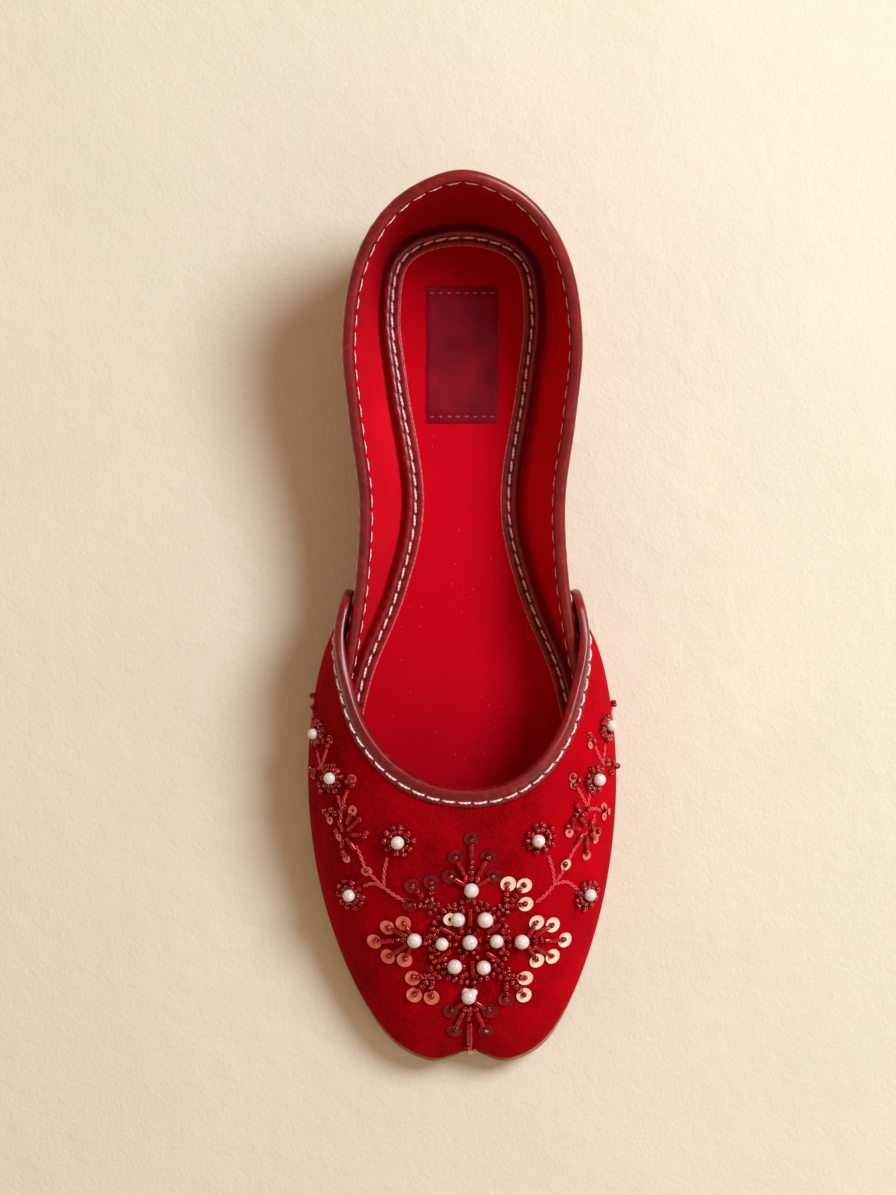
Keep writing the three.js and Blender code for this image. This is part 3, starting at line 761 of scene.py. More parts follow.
def make_outsole():
    turns = spread_turns(360)
    # (inset, share of the thickness): rounded arrises and the lines between layers of leather
    section = [(0.7, 0), (0.28, 0.03), (0.06, 0.08), (0, 0.15), (0, 0.42), (0.16, 0.45),
               (0, 0.48), (0, 0.84), (0.08, 0.92), (0.28, 0.97), (0.75, 1)]
    rim = at_toe(SOLE_RIM, sole_edge.at(turns)[0][:, 1])
    loops = [edge_loop(turns, inset + rim, 1, lambda y: lift(y) + share * SOLE_THICK)
             for inset, share in section]
    sole = loops_solid(loops, lambda x, y: lift(y), lambda x, y: sole_top(y), 18, 1)
    piece("sole", sole, SOLE, ["outsole"])


def make_heel():
    """The low heel under the sole: an open strip round its edge, closed across the breast."""
    back = turn_at(BREAST)
    turns = np.linspace(-back, back, 121)
    # (inset, share of the height)
    section = [(0.9, 0), (0.4, 0.06), (0.1, 0.18), (0, 0.3), (0, 0.85), (0.2, 1)]
    rows = np.stack([edge_loop(turns, inset, 0, lambda y: lift(y) * share)
                     for inset, share in section], 1)
    count, levels = rows.shape[:2]
    faces = [list(f) for f in grid_faces(count, levels)[:, ::-1]]
    # Under and top faces in rows from side to side, and the breast between their last rows.
    middle = count // 2
    for level, flip in ((0, False), (levels - 1, True)):
        for k in range(1, middle + 1):
            a, b = (middle - k) * levels + level, (middle + k) * levels + level
            c, d = (middle - k + 1) * levels + level, (middle + k - 1) * levels + level
            face = [a, b, d, c] if c != d else [a, b, c]
            faces.append(face[::-1] if flip else face)
    right, left = (count - 1) * levels, 0
    faces += [[left + j, left + j + 1, right + j + 1, right + j] for j in range(levels - 1)]
    piece("heel_lift", (rows.reshape(-1, 3), faces), SOLE)


# ---- The insole -------------------------------------------------------------------------
def insole_top(x, along):
    """The felt lies in a shallow dish, a little fuller in the middle."""
    where, half = zip(*SOLE_EDGE[::-1])
    half = np.maximum(np.interp(along, where, half) - INSOLE["dish_rim"], 4)
    full = 1 - np.clip(np.abs(x) / half, 0, 1) ** 2
    return sole_top(along) + INSOLE["top"] + INSOLE["dish"] * full


def make_insole():
    turns = spread_turns(300)
    edge = INSOLE["inset"] + INSOLE["lip"]
    section = [(0.3, 0.1), (0.05, 0.4), (0.05, 2.5), (0.5, INSOLE["top"])]  # (inset, up)
    loops = [edge_loop(turns, edge + inset, 0, lambda y: sole_top(y) + up) for inset, up in section]
    felt = loops_solid(loops, lambda x, y: sole_top(y) + 0.1, insole_top, 26, 0)
    piece("insole_felt", felt, FELT, ["insole"])


# Sections above the sole, (in, up) from the insole's edge: its binding, and the binding's cut edge.
INSOLE_ROLL = [(0.25, 0.1), (0, 1.4), (0.1, 2.7), (0.6, 3.6), (1.4, 3.95), (2.2, 3.75), (2.7, 3.35),
               (3.2, 3.25), (4.2, 3.42), (4.95, 3.36), (5.05, 3.05), (4.2, 2.95), (2.95, 2.9),
               (2.85, 0.2)]
INSOLE_CUT_EDGE = [(5.0, 3.0), (5.04, 3.42), (5.22, 3.47), (5.40, 3.40), (5.42, 3.0)]
INSOLE_STITCH = dict(at=3.0, up=3.36, pitch=3.9, radius=0.36, share=0.8, slant=0.22)
PUCKER = dict(depth=0.16, width=0.6, pull=1.5, reach=1.3, hole=0.16)


def above_sole(turns, inset, roll):
    """Rings of a section, (in, up), all the way round on top of the sole."""
    point, _ = edge_at(turns[:, None], inset + roll[None, :, 0])
    point[..., 2] = sole_top(point[..., 1]) + roll[None, :, 1]
    return point


def pucker(run, pitch, off):
    """How much a row of stitches presses leather down at points of a section `off` the row: in a
    groove, and more round each hole."""
    phase = np.mod(run / pitch, 1)
    hole = np.exp(-((np.minimum(phase, 1 - phase) / PUCKER["hole"]) ** 2))
    groove = np.exp(-((off / PUCKER["width"]) ** 2))
    pull = np.exp(-((off / PUCKER["reach"]) ** 2))
    return PUCKER["depth"] * (groove[None, :] + PUCKER["pull"] * pull[None, :] * hole[:, None])


def make_insole_binding():
    turns = np.linspace(0, 1, 1000, endpoint=False)
    line, _ = edge_at(turns, INSOLE["inset"] + INSOLE_STITCH["at"])
    run = run_along(np.vstack([line, line[:1]]))
    pitch = run[-1] / round(run[-1] / INSOLE_STITCH["pitch"])
    roll = rounded(INSOLE_ROLL)
    rings = above_sole(turns, INSOLE["inset"], roll)
    on_top = smooth(roll[:, 1], 2.4, 3.1)
    rings[..., 2] -= pucker(run[:-1], pitch, roll[:, 0] - INSOLE_STITCH["at"]) * on_top
    piece("insole_roll", rings_mesh(rings, True), BINDING, ["insole_binding"],
          sharp=60)
    edge = above_sole(turns[::2], INSOLE["inset"], rounded(INSOLE_CUT_EDGE, 3))
    piece("insole_cut_edge", rings_mesh(edge, True), CUT_EDGE)
    line[:, 2] = sole_top(line[:, 1]) + INSOLE_STITCH["up"]
    line = np.vstack([line, line[:1]])
    piece("insole_stitches", stitches(line, all_up(line), pitch, INSOLE_STITCH), WHITE_THREAD)


# ---- Threads ----------------------------------------------------------------------------
def run_along(points):
    """The distance along a line of points, at each of them."""
    return np.concatenate([[0], np.cumsum(np.linalg.norm(np.diff(points, axis=0), axis=1))])


def strand(path, normals, radii):
    """A mesh of one ply of thread along a path, six-sided, with a radius at each point."""
    tangent = unit(np.gradient(path, axis=0))
    side = unit(np.cross(normals, tangent))
    up = np.cross(tangent, side)
    angle = np.linspace(0, 2 * np.pi, 6, endpoint=False)
    across, high = radii[:, None] * np.cos(angle), radii[:, None] * np.sin(angle)
    rings = path[:, None] + side[:, None] * across[..., None] + up[:, None] * high[..., None]
    return rings_mesh(rings, False)


def all_up(line):
    return np.tile([0.0, 0.0, 1.0], (len(line), 1))


def stitches(path, normals, pitch, kind):
    """A row of stitches of two-ply thread: each rises out of the leather, lies on it and dives."""
    radius, share, slant = kind["radius"], kind["share"], kind["slant"]
    run = run_along(path)
    parts = []
    f = np.linspace(0, 1, 11)
    arch = np.sin(np.pi * f) ** 0.45
    off = 0.42 * radius  # of each ply from the middle of the thread
    for k in range(int(round(run[-1] / pitch))):
        at = (k + 0.5 + (f - 0.5) * share * rng.uniform(0.96, 1.03)) * pitch
        centre = np.stack([np.interp(at, run, path[:, c]) for c in range(3)], -1)
        normal = unit(np.stack([np.interp(at, run, normals[:, c]) for c in range(3)], -1))
        side = unit(np.cross(normal, np.gradient(centre, axis=0)))
        centre = centre + normal * ((arch - 0.8) * 0.62)[:, None]
        centre = centre + side * ((f - 0.5) * slant + rng.normal(0, 0.03))[:, None]
        for ply in (0, 1):
            turn = np.pi * (ply + 3 * f) + k
            aside, above = off * np.cos(turn), off * np.sin(turn)
            path_of_ply = centre + side * aside[:, None] + normal * above[:, None]
            parts.append(strand(path_of_ply, normal, radius * 0.66 * (0.5 + 0.5 * arch)))
    return join(parts)


# ---- The upper --------------------------------------------------------------------------
def crowded_shares(count, by):
    """Shares from -1 to 1 that lie closer together near the middle and the two ends."""
    even = np.linspace(-1, 1, count)
    return even - by * np.sin(2 * np.pi * even) / (2 * np.pi)


def vamp_layer(columns, rows, outer, inner):
    shares = crowded_shares(columns, 0.55)
    rises = np.linspace(0, 1, rows) * vamp_top(shares)[:, None]
    return shell(vamp_face, vamp_form, VAMP_SIDE, shares, rises, outer, inner)


def make_vamp():
    """The vamp's velvet and lining. Returns the velvet's outer face as a grid of points."""
    columns, rows = 320, 70
    velvet = vamp_layer(columns, rows, 0, 0.9)
    piece("vamp_velvet", velvet, VELVET, ["upper"])
    piece("vamp_lining", vamp_layer(140, 36, 0.92, VAMP["wall"]), LINING)
    return velvet[0][:columns * rows].reshape(columns, rows, 3)


def make_lining_turning():
    """The lining's lower edge, turned in flat under the insole."""
    roll = np.array([(4.0, 0.06), (4.0, 0.4), (4.8, 0.6), (5.75, 0.5), (5.75, 0.06)])
    rings = above_sole(np.linspace(0, 1, 240, endpoint=False), 0, roll)
    piece("lining_turning", rings_mesh(rings, True), LINING)


def make_quarter():
    shares = crowded_shares(300, 0.4)
    rises = np.broadcast_to(np.linspace(0, 1, 34), (300, 34))
    for made, slot, outer, inner in ((VELVET, "velvet", 0, 1.0),
                                     (LINING, "lining", 1.02, QUARTER["wall"])):
        layer = shell(quarter_face, quarter_face, QUARTER_SIDE, shares, rises, outer, inner)
        piece("quarter_" + slot, layer, made)


# ---- The bindings of the upper ----------------------------------------------------------
def edging(surface, turned, share, rise, inwards, off):
    """A line that follows an edge of a surface, `inwards` from the edge over the surface and `off`
    its face, and the surface's normals there."""
    place = surface(share, rise)
    tangent = np.gradient(place, axis=0)
    across, up, normal = surface_frame(surface, turned, share, rise)
    inward = unit(np.cross(tangent, normal)) * turned
    if np.max(inwards) <= 0:
        line = place + inward * np.reshape(inwards, (-1, 1))
    else:
        aa, ab, bb = (across ** 2).sum(-1), (across * up).sum(-1), (up ** 2).sum(-1)
        a, b = (across * inward).sum(-1), (up * inward).sum(-1)
        det = aa * bb - ab * ab
        share = share + (a * bb - b * ab) / det * inwards
        rise = rise + (b * aa - a * ab) / det * inwards
        line, normal = surface(share, rise), surface_frame(surface, turned, share, rise)[2]
    return line + normal * np.reshape(off, (-1, 1)), normal


def bind(which, surface, turned, share, rise, roll, stitch, room=1.0):
    """A leather binding and its rows of stitches along an edge. `room` is how much of the inner
    leaf's thickness there is space for, along the edge."""
    def row(inwards, off):
        return edging(surface, turned, share, rise, inwards, off)

    def sewn(off, outward, slant):
        line, normals = row(stitch["at"], off)
        return stitches(line, normals * outward, pitch, {**stitch, "slant": slant})

    line, _ = row(stitch["at"], stitch["off"])
    sense = 1 if stitch["off"] > stitch["middle"] else -1
    run = run_along(line)
    pitch = run[-1] / round(run[-1] / stitch["pitch"])
    section = rounded(roll)
    outside = np.sign(section[:, 1] - stitch["middle"]) == sense
    press = pucker(run, pitch, section[:, 0] - stitch["at"]) * outside
    wall = -stitch["wall"]
    # The cut edge of the leaf beyond the stitches is a little uneven.
    uneven = 0.09 * np.sin(run * 5.1) + 0.06 * np.sin(run * 2.3 + 1)
    rings = []
    for k, (inwards, off) in enumerate(section):
        edge = uneven * (outside[k] and inwards > stitch["at"] + 0.5)
        inner = np.where(off < wall, wall + (off - wall) * room, off)
        rings.append(row(inwards + edge, inner - sense * press[:, k])[0])
    points, faces = rings_mesh(np.stack(rings, 1), False)
    strip = points, [f[::turned] for f in faces]
    piece(which + "_roll", strip, BINDING, [which + "_binding"], sharp=60)
    threads = [sewn(stitch["off"], sense, stitch["slant"])]
    if "behind" in stitch:
        threads.append(sewn(stitch["behind"], -sense, 0.0))
    piece(which + "_stitches", join(threads), WHITE_THREAD)


# Sections of the bindings, (in, off), from the end of the outer leaf over the edge and in.
THROAT_ROLL = [(4.15, 0.08), (4.1, 0.62), (3.5, 0.78), (2.75, 0.76), (2.0, 0.9), (1.0, 1.05),
               (0.1, 1.0), (-0.7, 0.6), (-1.0, -0.3), (-1.0, -1.2), (-0.5, -2.05), (0.6, -2.4),
               (1.8, -2.3), (1.9, -1.9), (0.4, -1.86), (-0.25, -1.8), (-0.3, -0.6), (-0.25, 0.05),
               (2.2, 0.06)]
COLLAR_ROLL = [(4.6, 0.06), (4.5, 0.5), (2.5, 0.62), (0.6, 0.75), (-0.5, 0.55), (-1.1, -0.15),
               (-1.25, -1.0), (-1.05, -1.9), (-0.4, -2.6), (0.6, -2.8), (1.6, -2.66), (2.5, -2.55),
               (2.75, -2.12), (1.0, -2.06), (-0.2, -2.05), (-0.25, -1.0), (-0.2, 0.04), (2.2, 0.05)]
# A row of stitches lies at this (in, off); off `middle` is between the leaves of the binding.
THROAT_STITCH = dict(at=2.75, off=0.84, middle=0.4, pitch=4.5, radius=0.34, share=0.84,
                     slant=0.12, wall=VAMP["wall"])
COLLAR_STITCH = dict(at=1.85, off=-2.64, behind=0.66, middle=-1.0, pitch=5.2, radius=0.29,
                     share=0.92, slant=0.12, wall=QUARTER["wall"])


def throat_edge(count):
    """Share and rise along the vamp's free edge: up the left wing, round the throat, and down."""
    wing, corner = 0.16, 0.15  # parts of the trip: up a wing, and of the rest, round its corner
    foot, corner_rise = 0.02, float(vamp_top(np.float64(1)))
    corner_share = VAMP["corner"] / (0.5 * sole_edge.length * (1 - 2 * VAMP_TURN))
    # An eased trip, laid out once and then re-spaced evenly along the edge.
    where = np.linspace(0, 1, 4001)
    from_end = np.minimum(where, 1 - where)
    side = np.where(where < 0.5, -1.0, 1.0)
    done = np.clip((from_end - wing) / (0.5 - wing), 0, 1)
    turned = np.pi / 2 * np.minimum(1, done / corner)
    past = np.maximum(0, (done - corner) / (1 - corner))
    size = (1 - past) * (1 - corner_share * (1 - np.cos(turned)))
    on_wing = from_end < wing
    size = np.where(on_wing, 1.0, size)
    rise = np.where(on_wing, foot + (corner_rise - foot) * from_end / wing, vamp_top(size))
    share = side * size
    run = run_along(vamp_form(share, rise))
    even = np.linspace(0, run[-1], count)
    return np.interp(even, run, share), np.interp(even, run, rise)


def make_bindings():
    share, rise = throat_edge(620)
    # There is no space for an inner leaf where a wing lies against the quarter.
    room = 1 - smooth(vamp_form(share, rise)[:, 1], 112, 124)
    bind("throat", vamp_form, VAMP_SIDE, share, rise, THROAT_ROLL, THROAT_STITCH, room)
    share = np.linspace(-0.95, 0.95, 800)
    bind("collar", quarter_face, QUARTER_SIDE, share, np.ones_like(share), COLLAR_ROLL, COLLAR_STITCH)


# ---- The label --------------------------------------------------------------------------
LABEL_SIZE = dict(wide=20.6, long=39.8, along=206.0, thick=0.58, rim=0.28)
LABEL_STITCH = dict(from_end=1.9, up=0.42, pitch=2.52, radius=0.30, share=0.5, slant=0)


def make_label():
    """A woven label, laid on the felt and sewn down across both its ends."""
    wide, long, middle = LABEL_SIZE["wide"], LABEL_SIZE["long"], LABEL_SIZE["along"]
    u, v = np.meshgrid(np.linspace(-0.5, 0.5, 42), np.linspace(-0.5, 0.5, 80), indexing="ij")
    frayed = 0.12 * np.sin(v * 19) * (np.abs(u) > 0.49)
    x, y = u * wide + frayed, v * long + middle
    from_side, from_end = wide * (0.5 - np.abs(u)), long * (0.5 - np.abs(v))
    rim = LABEL_SIZE["rim"] * (1 - smooth(np.minimum(from_side, from_end), 0, 0.8))
    pressed = 0.25 * np.exp(-(((from_end - LABEL_STITCH["from_end"]) / 0.6) ** 2))
    wavy = 0.10 * np.sin(v * 7 + u * 5)
    felt = insole_top(x, y)
    top = felt + LABEL_SIZE["thick"] - rim + wavy - pressed
    cloth = sheet(np.stack([x, y, top], -1), np.stack([x, y, felt + 0.02], -1))
    piece("label", cloth, LABEL)
    threads = []
    for end in (-1, 1):
        x = np.linspace(-wide / 2 + 0.2, wide / 2 - 0.2, 90)
        y = np.full_like(x, middle + end * (long / 2 - LABEL_STITCH["from_end"]))
        line = np.stack([x, y, insole_top(x, y) + LABEL_STITCH["up"]], -1)
        threads.append(stitches(line, all_up(line), LABEL_STITCH["pitch"], LABEL_STITCH))
    piece("label_stitches", join(threads), RED_THREAD)


# ---- Beadwork ---------------------------------------------------------------------------
# Its plan is drawn as it is seen from EYE, at the height PLAN_Z: (x, along), in mm.
EYE = np.array([-4.1, 135.35, 900.0])
PLAN_Z = 27.0
CENTRE = np.array([2.0, 36.9])  # the middle of the medallion
SEED = dict(across=1.75, long=1.35, up=0.8, pitch=1.5)
PEARL = dict(size=4.2, up=0.4)
BUGLE = dict(across=1.45, long=4.6, up=0.95)
SEQUIN = dict(across=4.5, hole=1.4, thick=0.14, up=0.36)
GOLD_BEAD = dict(across=1.6, long=1.0, up=0.75)
STEM = dict(step=0.3, pitch=3.4, radius=0.23, apart=0.33, up=0.26, crossing=0.14)
IN_CLEFT = [(2.35, 2.75), (3.75, 2.95)]  # (x, along) of the two gold beads on the sole
CROSSWAYS = np.array([1.0, 0.1, 0])  # the aim of a thing that faces nothing in particular


def standing(aim, normal):
    """Rows of axes with z the normal, and x as near the aim as it can be."""
    return axes_from(aim - normal * (aim @ normal), normal)


def heading(degrees):
    """A direction in the plan: 0 is towards the heel, and 90 to the right."""
    return np.array([math.sin(math.radians(degrees)), math.cos(math.radians(degrees))])


def ring_plan(k, count, start, wide, high):
    """The place of one of `count` things on an oval, and the direction of the oval there."""
    angle = 2 * math.pi * (k + start) / count
    across, up = math.cos(angle), math.sin(angle)
    return np.array([wide * across, high * up]), np.array([-up, across])


class Beads:
    """Collects small things on the vamp, then makes one mesh of each kind."""

    def __init__(self, outer):
        self.points = outer.reshape(-1, 3)
        faces = grid_faces(*outer.shape[:2])
        self.tree = BVHTree.FromPolygons(self.points.tolist(), faces.tolist())
        self.kinds = defaultdict(list)
        self.threads = []

    def widest_near(self, at):
        """The point of the vamp that lies furthest out beside a plan point."""
        near = self.points[np.abs(self.points[:, 1] - at[1]) < 1.2]
        return near[np.argmax(near[:, 0] * np.sign(at[0]))]

    def on_vamp(self, at, up=0.0):
        """The place and normal on the vamp of something that is seen at a plan point and stands
        off by `up`. Past the vamp's edge, it sits on the widest line there."""
        want = np.array([at[0], at[1], PLAN_Z])
        goal = want.copy()
        for _ in range(3):
            hit, normal, *_ = self.tree.ray_cast(Vector(EYE), Vector(unit(goal - EYE)))
            if hit is None:
                hit, normal, *_ = self.tree.find_nearest(Vector(self.widest_near(at)))
            place, normal = np.array(hit), np.array(normal)
            if normal @ np.array([place[0], 0, 25.0]) < 0:
                normal = -normal
            lifted = place + normal * up
            seen = EYE + (lifted - EYE) * (EYE[2] - PLAN_Z) / (EYE[2] - lifted[2])
            goal = goal + (want - seen)
        return place, normal

    def add(self, kind, place, axes, scale):
        self.kinds[kind].append((place, axes, [scale] * 3 if np.isscalar(scale) else scale))

    def put(self, kind, at, toward, up, tilt, scale):
        """One thing at a plan point, its x axis towards another, standing off by `up`."""
        place, normal = self.on_vamp(at, up)
        aim = CROSSWAYS if toward is None else self.on_vamp(toward)[0] - place
        normal = unit(normal + rng.uniform(-tilt, tilt, 3))
        self.add(kind, place + normal * up, standing(aim, normal), scale)

    def seed(self, at, toward=None, up=SEED["up"], loose=0.08):
        at = np.asarray(at) + rng.normal(0, loose, 2)
        self.put("seed", at, toward, up + rng.uniform(-0.1, 0.1), 0.15, rng.uniform(0.92, 1.08))

    def string(self, start, end, count):
        """Seed beads threaded from one plan point to another."""
        for f in np.linspace(0, 1, count):
            at = start + (end - start) * f
            self.seed(at, at + (end - start) * 0.2)

    def pearl(self, at, size=PEARL["size"], sunk=0.0):
        self.put("pearl", at, None, size / 2 + PEARL["up"] - sunk, 0.4, size)

    def sequin(self, at, kind, size=SEQUIN["across"], outward=None, up=SEQUIN["up"], tilt=0.08):
        toward = None if outward is None else at + outward
        self.put(kind, at, toward, up, tilt, size / SEQUIN["across"])

    def bugle(self, start, end, thick=1.0):
        a, normal = self.on_vamp(start, BUGLE["up"])
        b, other = self.on_vamp(end, BUGLE["up"])
        normal = unit(normal + other)
        scale = [np.linalg.norm(b - a) / BUGLE["long"], thick, thick]
        self.add("bugle", (a + b) / 2 + normal * BUGLE["up"] * thick, axes_from(b - a, normal), scale)

    def spoke(self, hub, degrees, reach, foil):
        """A bugle and seed beads from a hub out over the hole of a sequin."""
        way = heading(degrees)
        self.sequin(hub + way * reach, foil, outward=way)
        tip = reach - 0.35
        self.seed(hub + way * tip, hub, 1.0, 0.05)
        outer = tip - 0.95
        long = min(BUGLE["long"], outer - 1.4)
        self.bugle(hub + way * (outer - long), hub + way * outer)
        left = outer - long - 0.8
        while left > 2.6:
            self.seed(hub + way * left, hub)
            left -= SEED["pitch"]

    def flower(self, at, size, ring):
        """A pearl in rays of two seed beads, laid out flat on the vamp round it."""
        self.pearl(at, size)
        middle, normal = self.on_vamp(at, size / 2 + PEARL["up"])
        across, up, _ = standing(CROSSWAYS, normal)
        rays = 10
        for k in range(rays):
            angle = 2 * math.pi * (k + rng.uniform(-0.15, 0.15)) / rays
            way = across * math.cos(angle) + up * math.sin(angle)
            for reach in (ring * rng.uniform(0.94, 1.06), size / 2 + 0.8):
                hit, local, *_ = self.tree.find_nearest(Vector(middle + way * reach))
                local = np.array(local) * np.sign(np.array(local) @ normal)
                place = np.array(hit) + local * rng.uniform(0.7, 0.9)
                self.add("seed", place, standing(-way, local), rng.uniform(0.92, 1.08))

    def stem(self, *plan):
        """Chain-stitched thread through plan points: two plies that cross and part."""
        path = Curve([(*p, 0) for p in plan], False)
        count = max(8, int(path.length / STEM["step"]))
        points = path.at(np.linspace(0, 1, count))[0]
        line, normal = (np.array(v) for v in zip(*(self.on_vamp(p[:2]) for p in points)))
        side = unit(np.cross(normal, np.gradient(line, axis=0)))
        run = run_along(line)
        swell = np.sin(np.pi * np.clip(run / run[-1], 0, 1)) ** 0.3
        for ply in (0, 1):
            turn = np.pi * ply + 2 * np.pi * run / STEM["pitch"]
            aside, above = STEM["apart"] * np.sin(turn), STEM["up"] + STEM["crossing"] * np.cos(turn)
            path_of_ply = line + side * aside[:, None] + normal * above[:, None]
            radii = STEM["radius"] * (0.6 + 0.4 * swell)
            self.threads.append(strand(path_of_ply, normal, radii))

    def finish(self):
        seed, bugle, gold = (ring_bead(s["across"], s["long"], around, corner) for s, around, corner
                             in ((SEED, 10, 0.45), (BUGLE, 14, 0.14), (GOLD_BEAD, 14, 0.3)))
        shapes = {
            "pearl": (ball(20, 14), PEARL_COAT, "pearl"),
            "seed": (seed, RUBY, "glass_bead"),
            "bugle": (bugle, BUGLE_GLASS, "glass_bead"),
            "pale_sequin": (disc(), FOIL_PAINTED_LAMP_REFLECTION, "sequin"),
            "copper_sequin": (disc(), FOIL_PAINTED_RED_REFLECTION, "sequin"),
            "wine_sequin": (disc(), FOIL_PAINTED_DARK_REFLECTION, "sequin"),
            "gold_seed": (gold, GOLD, "gold_bead"),
        }
        for kind, items in self.kinds.items():
            shape, made, slot = shapes[kind]
            origins, axes, scales = (np.array(x) for x in zip(*items))
            piece(kind + "s", copies(*shape, origins, axes, scales), made, sharp=50)
        piece("thread_stems", join(self.threads), CORAL_THREAD)


def ball(around, rows):
    """A sphere of diameter 1 with a bore through it along x, as (points, quads)."""
    angle = np.linspace(0.04, np.pi - 0.04, rows)
    turn = np.linspace(0, 2 * np.pi, around, endpoint=False)
    a, t = np.meshgrid(angle, turn, indexing="ij")
    points = 0.5 * np.stack([np.cos(a), np.sin(a) * np.cos(t), np.sin(a) * np.sin(t)], -1)
    faces = grid_faces(rows, around, False, True)
    # The thread's hole: each pole is drawn in to a narrow bore.
    bore = np.stack([points[-1] * [0.4, 1, 1], points[0] * [0.4, 1, 1]], 0)
    points = np.concatenate([points, bore])
    last = (rows - 1) * around
    chain = np.arange(last, last + 3 * around)
    tunnel = chain[grid_faces(3, around, False, True)]
    close = np.stack([chain[2 * around:], np.roll(chain[2 * around:], -1),
                      np.roll(np.arange(around), -1), np.arange(around)], -1)
    return points.reshape(-1, 3), np.concatenate([faces, tunnel, close])


def turned_ring(section, around, place):
    """A ring of a section's points, (a, b), which place(a, b, cos, sin) puts at every angle."""
    turn = np.linspace(0, 2 * np.pi, around, endpoint=False)
    points = [[place(*point, math.cos(a), math.sin(a)) for point in section] for a in turn]
    return np.array(points).reshape(-1, 3), grid_faces(around, len(section), True, True)


def ring_bead(across, long, around, c):
    """A short tube of glass with ends rounded by c, its hole along x."""
    r, h, bore = across / 2, long / 2, 0.25
    section = [(-h + c, r), (0, r * 1.02), (h - c, r), (h - c * 0.3, r - c * 0.3), (h, r - c),
               (h - 0.05, bore), (-h + 0.05, bore), (-h, r - c), (-h + c * 0.3, r - c * 0.3)]
    return turned_ring(section, around, lambda x, y, cos, sin: (x, y * cos, y * sin))


def disc():
    """A sequin: a thin ring, slightly cupped."""
    r, b, t = SEQUIN["across"] / 2, SEQUIN["hole"] / 2, SEQUIN["thick"] / 2
    section = [(b, -t), (b + 0.05, t), (r * 0.7, 0.03 + t), (r - 0.05, 0.12 + t),
               (r, 0.13 - t * 0.4), (r * 0.7, 0.03 - t)]
    return turned_ring(section, 32, lambda x, z, cos, sin: (x * cos, x * sin, z))


# The medallion, from its CENTRE. Loose things in its middle:
MIDDLE_PEARLS = [(5.1, 5.9, 4.5), (-3.35, 6.5, 4.1), (7.3, 0.0, 3.9), (-8.0, -0.3, 3.7),
                 (-3.4, -6.4, 4.2), (4.6, -7.8, 4.1)]  # (x, y, size)
MIDDLE_BUGLES = [(0.35, 4.6, 0.35, 9.4), (0.9, -5.3, 1.2, -9.9), (-8.6, 4.1, -4.1, 2.1),
                 (8.9, 5.0, 5.2, 2.6), (-9.0, -5.5, -5.3, -2.6), (4.9, -3.0, 8.7, -5.6)]
MIDDLE_SEEDS = [(2.6, 3.4), (-2.2, 4.0), (-5.7, 1.3), (-5.8, -0.9), (5.2, -1.2), (5.5, 1.3),
                (2.3, 9.2), (-1.6, 8.8), (-1.9, -4.6), (2.4, -4.4), (-6.2, 3.9), (6.6, 4.9),
                (-6.9, -5.0), (6.9, -5.3), (-1.4, -7.2), (-0.9, -9.4), (9.6, -2.4), (9.8, 2.6),
                (-9.9, 2.0), (-10.0, -2.4)]
# Two close rings of seeds, (count, wide, high, gaps): the inner one makes way for the bugles.
SEED_RINGS = [(37, 11.3, 11.6, ()), (30, 9.7, 10.0, (90, 270, 26, 154, 211, 327))]
# Four outer pearls, each with a fan of spokes: (x, y, facing, [(angle, reach), ...], foil)
# The last column paints reflections into the sequins: pale on the right fan, copper-red on the left, dark
# wine at the top and bottom.
FANS = [
    (0.7, 15.1, 0, [(0, 14.4), (27, 10.4), (-27, 10.3), (60, 7.3), (-60, 7.3)], "wine_sequin"),
    (0.3, -16.4, 180, [(27, 10.1), (-26, 10.1), (58, 6.5), (-58, 6.5)], "wine_sequin"),
    (16.0, 0.1, 90, [(-2, 11.3), (29, 8.9), (-31, 9.1), (59, 6.4), (-59, 6.3)], "pale_sequin"),
    (-15.4, 0.5, -90, [(-2, 11.8), (24, 8.8), (-31, 9.2), (54, 5.9), (-61, 6.5)], "copper_sequin"),
]
# Seeds close round a fan's hub: (towards the middle, aside)
HUB_SEEDS = [(2.7, 0.7), (2.7, -0.7), (-2.6, 1.6), (-2.6, -1.6), (-2.9, 0.0)]
# Four corners: (x, y, foils, tips), where a string of seeds runs out over a sequin at each tip.
CORNERS = [
    # Their foils paint reflections in too: pale at the right, dark wine at the top left, copper-red at
    # the bottom left.
    (10.4, 9.9, ("pale", "pale", "pale"), [(11.1, 16.5), (15.7, 16.1), (16.1, 10.8)]),
    (-10.5, 10.0, ("wine", "wine", "wine"), [(-10.9, 17.1), (-16.4, 16.0), (-17.0, 10.6)]),
    (10.7, -9.7, ("pale", "pale", "wine"), [(16.0, -10.4), (15.6, -15.3), (10.5, -16.4)]),
    (-10.6, -9.6, ("copper",) * 3, [(-16.2, -10.4), (-15.8, -15.3), (-10.8, -16.0)]),
]


